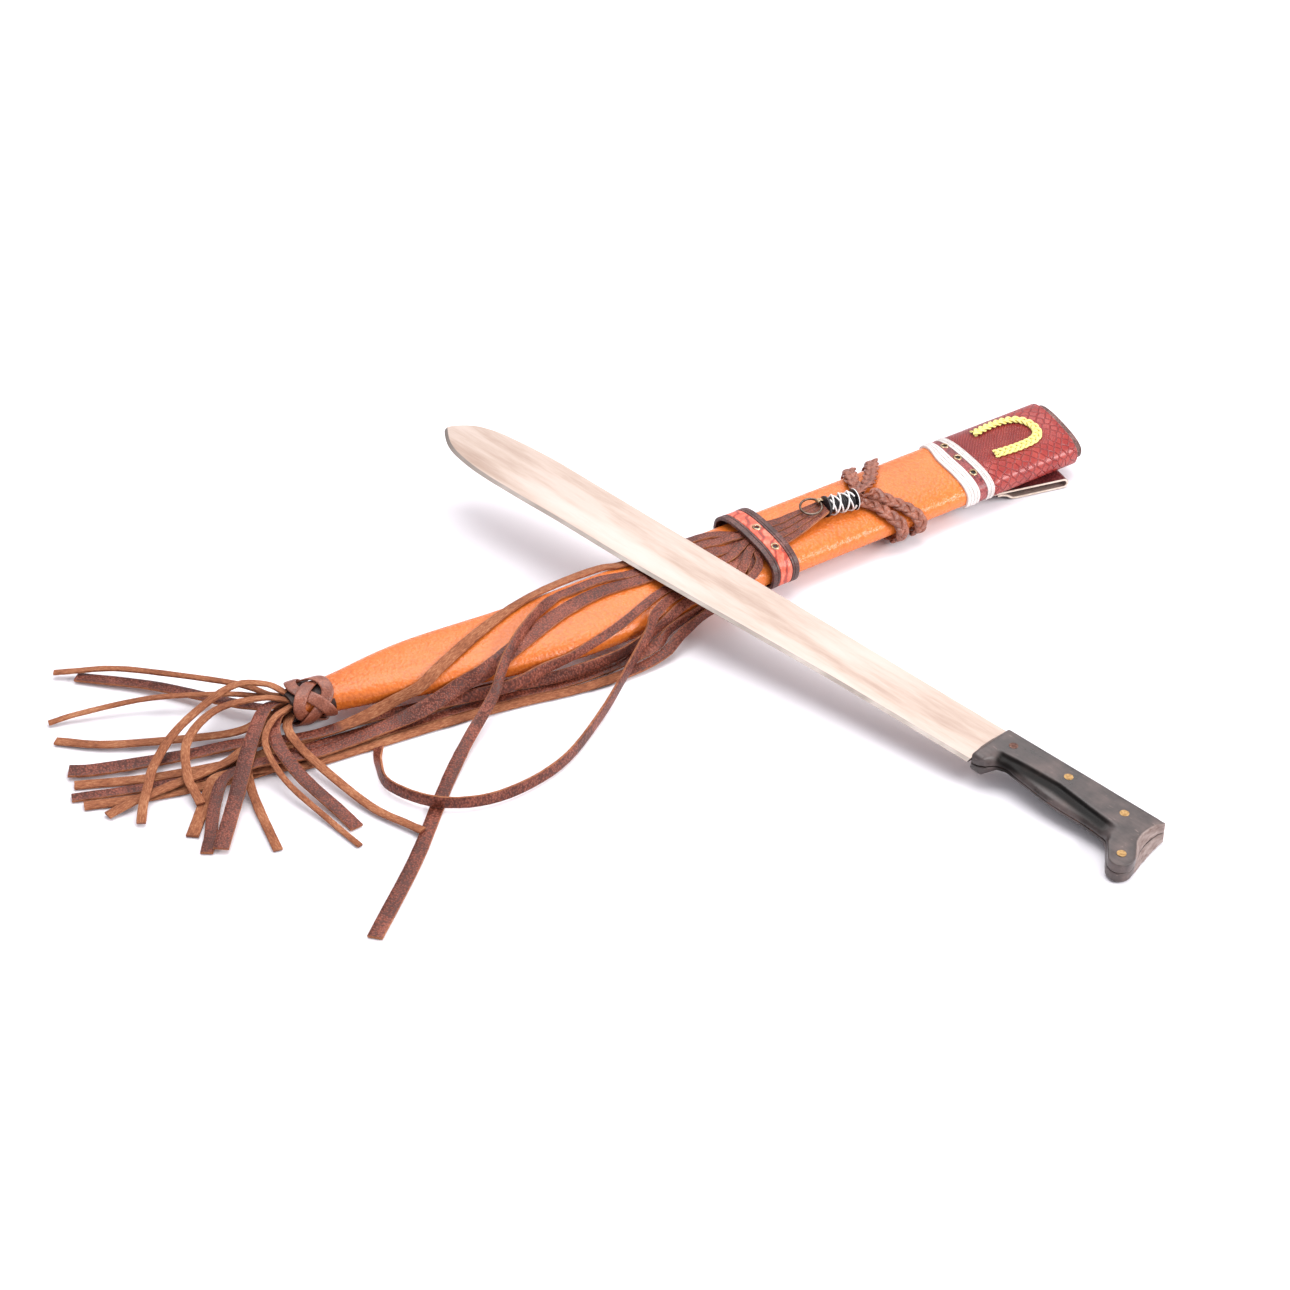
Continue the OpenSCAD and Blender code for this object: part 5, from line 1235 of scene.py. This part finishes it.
# the handle's outline: eased front, finger side with its swell and hook, eased butt
handleFront = [[-2.2, 0.6], [-0.8, 0.9], [0, 2.2], [2.3, 16], [2, 27], [-0.6, 38.4], [-1.8, 40.4],
               [-4, 41.2], [-7.8, 40.5]]
fingerLine = [[-11.4, 38], [-15, 32.6], [-21.6, 29.9], [-30, 31.5], [-41, 33], [-57, 35.3], [-70, 36],
              [-86, 35.8], [-102, 37.2], [-108.4, 39.8]]
hookLine = [[-118.3, 52.6], [-121.5, 56], [-126.5, 57.8], [-131.4, 55.9], [-134.2, 49.9], [-132.5, 42.4],
            [-127.2, 34.4], [-123.8, 28.6], [-122, 19.3], [-122.8, 9]]
handleButt = [[-124.8, 6.2], [-125.9, 4.6], [-125.6, 3.2], [-124.2, 2.6]]
handleLine = handleFront + smoothPath(fingerLine + hookLine, 4) + handleButt


def insetLine(points, d):
    count, out = len(points), []
    for i in range(count):
        a, b = Vector(points[i - 1]), Vector(points[(i + 1) % count])
        t = (b - a).normalized()
        out.append([points[i][0] - t.y * d, points[i][1] + t.x * d])
    return out


def plateFrom(name, points, low, high):  # an outline, filled and extruded to a plate
    piece = circleThrough(name, [(x, y, low) for x, y in points], "NGON")
    bpy.ops.mesh.extrude_region_move(TRANSFORM_OT_translate={"value": (0, 0, (high - low) * 0.001)})
    closeUp(piece)
    return piece


def lineAt(points, x):
    line = sorted(points)
    for (x0, y0), (x1, y1) in zip(line, line[1:]):
        if x <= x1:
            return y0 + (y1 - y0) * (x - x0) / (x1 - x0)
    return line[-1][1]


buttSlant = [(-5, 0), (1, 0), (4, 1), (9, 4.8), (19.3, 7.1), (28.6, 6.9), (34.4, 4.4), (42.4, 0.5), (46, 0),
             (60, 0)]


def slantButt(x, y, z):  # the butt is cut at a slant: its lower edge stands out further
    depth = (machete["thick"] / 2 - z) / machete["thick"]
    return x - lineAt(buttSlant, y) * depth * ease((-112 - x) / 8) * ease((y + 4) / 5) * ease((47 - y) / 3)


# the tang shows as a line at the fingers' side, and stays inside at both ends
tangLine = [p if -110 < p[0] < -8 else q for p,
            q in zip(insetLine(handleLine, 0.3), insetLine(handleLine, 1.4))]
tang = plateFrom("tang_iron", tangLine, -0.24, 0.24)
for vertex in tang.data.vertices:
    x, y, z = vertex.co * 1000
    vertex.co.x = slantButt(x, y, z) * 0.001
for piece in (blade, tang):
    piece.data.transform(machetePlace)
closeUp(blade)
dress(blade, bladeSteel, "machete", ("blade",), 12)
blade.data.materials.append(edgeSteel)
for face in blade.data.polygons:
    tiltOff = machetePlace.to_3x3().inverted() @ face.normal
    face.material_index = int(0.05 < abs(tiltOff.y) < 0.9)
dress(tang, tangIron, "machete", (), 30)

# where the fingers' hollow begins, along and across
crease = [(-15.7, 24.1), (-23.2, 23.3), (-34.6, 22.5), (-57.8, 21.7), (-84.3, 25.5), (-104, 27.9)]
handle = {"seam": 0.25, "front": 1.8, "back": 5, "hollow": 2.4, "slope": 0.06, "least": 0.3, "corner": 4}


def scaleHeight(x, y):  # how much of the scale's thickness is left, above the tang
    full = machete["thick"] / 2 - 1
    left = full - 0.12
    if x > -3.5:
        left = min(left, handle["front"] + (full - handle["front"]) * ease((2.4 - x) / 5.6))
    if x > -14:  # the guard's lower corner
        d = min(1, max(0, 41.2 - y) / handle["corner"])
        left *= 1 - ease((x + 14) / 8) * 0.85 * (1 - math.sqrt(max(0, 1 - (1 - d) ** 2)))
    back = handle["back"]
    if -124 < x and y < back + 0.7:  # rounded back
        d = min(back, back + 0.7 - y)
        left = min(left, full - back + math.sqrt(back * back - d * d))
    if -110 < x < -9:
        fade = ease((-9 - x) / 7) * ease((x + 110) / 9)
        inside = y - lineAt(crease, x)
        left -= fade * (handle["hollow"] * ease((inside + 0.5) / 3) + handle["slope"] * max(0, inside))
    if -112 < x < -9:  # the fingers' side is rounded down to the tang
        fade = ease((-9 - x) / 5) * ease((x + 112) / 8)
        d = min(1, max(0, lineAt(fingerLine, x) - y) / handle["back"])
        left *= 1 - fade * (1 - math.sqrt(max(0, 1 - (1 - d) ** 2)))
    return max(handle["least"], left)


seam = handle["seam"]  # half the line between the scales
buttLine = [(y, x) for x, y in handleLine if x < -121.9]
for side, name in ((1, "scale_upper"), (-1, "scale_lower")):
    scale = plateFrom(name + "_horn", handleLine, seam, machete["thick"] / 2)
    applyModifier(scale, "REMESH", "fine faces", mode="VOXEL", voxel_size=0.00065)
    full = machete["thick"] / 2 - seam
    for vertex in scale.data.vertices:
        x, y, z = vertex.co * 1000
        vertex.co.z = (seam + max(0, z - seam) * (scaleHeight(x, y) + 1 - seam) / full) * 0.001
    applyModifier(scale, "SMOOTH", "polish", factor=0.5, iterations=10)
    handled, sawn = [], []
    for vertex in scale.data.vertices:
        x, y, z = vertex.co * 1000
        gap = seam * ease((x + 124) / 5)  # the seam closes at the butt
        vertex.co.z = side * max(gap, z - seam + gap) * 0.001
        vertex.co.x = slantButt(x, y, side * z) * 0.001
        inside = y - lineAt(crease, x)
        # marks the finger hollow for the horn's painted shade and dark reflection
        hollowSpan = ease((-10 - x) / 5) * ease((x + 108) / 10)
        handled.append(hollowSpan * ease((inside + 0.8) / 1.6) * ease((11 - inside) / 5))
        sawn.append(ease((lineAt(buttLine, y) + 0.95 - x) / 0.5) * ease((45 - y) / 4))
    markPoints(scale, "handled", handled)
    markPoints(scale, "sawn", sawn)
    scale.data.transform(machetePlace)
    closeUp(scale)
    dress(scale, horn, "machete", (name,), 60)
print("machete made")

# CAD nodes whose shape is right keep it and get their finish
for name, material in (("handle_pins", rivetMetal), ("loop_rivets", eyeletBrass), ("loop_pad", liningHide),
                       ("ring", ringSteel), ("ring_tab", eyeletBrass), ("ferrule_core", blackDiscsAndHoleShade)):
    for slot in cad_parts[name].material_slots:
        slot.material = material


deselectAll()
bpy.ops.mesh.primitive_plane_add(size=studio["floor"] * 0.001, location=(0, 0, -0.0004))
floor = bpy.context.object
floor.name = "floor"
floorPaper, tree, shader = newMaterial("white seamless paper", Roughness=0.8)
shader.inputs["Base Color"].default_value = paint("#f3f0f4")
floor.data.materials.append(floorPaper)


def addSoftbox(name, place, aim, wide, tall, power):
    away = mm(aim) - mm(place)
    deselectAll()
    bpy.ops.object.light_add(type="AREA", location=mm(place),
                             rotation=away.to_track_quat("-Z", "Y").to_euler())
    lamp = bpy.context.object
    lamp.name = name
    lamp.data.shape = "RECTANGLE"
    lamp.data.size, lamp.data.size_y = wide * 0.001, tall * 0.001
    lamp.data.energy = power


addSoftbox("keySoftbox", (300, 450, 2550), (0, 60, 0), 2300, 1900, studio["keyLight"])
addSoftbox("backCard", (1250, 1420, 1660), (0, 60, 0), 1500, 1000, studio["cardLight"])
addSoftbox("frontStrip", (900, -1250, 980), (-40, 60, 0), 2000, 280, studio["frontLight"])
world = bpy.context.scene.world or bpy.data.worlds.new("studio")
bpy.context.scene.world = world
world.use_nodes = True
sky = world.node_tree.nodes.get("Background") or world.node_tree.nodes.new("ShaderNodeBackground")
sky.inputs[0].default_value = paint("#fbf9ff")
sky.inputs[1].default_value = studio["skyLight"]
bpy.context.scene.view_settings.view_transform = "Standard"
print("studio lit")
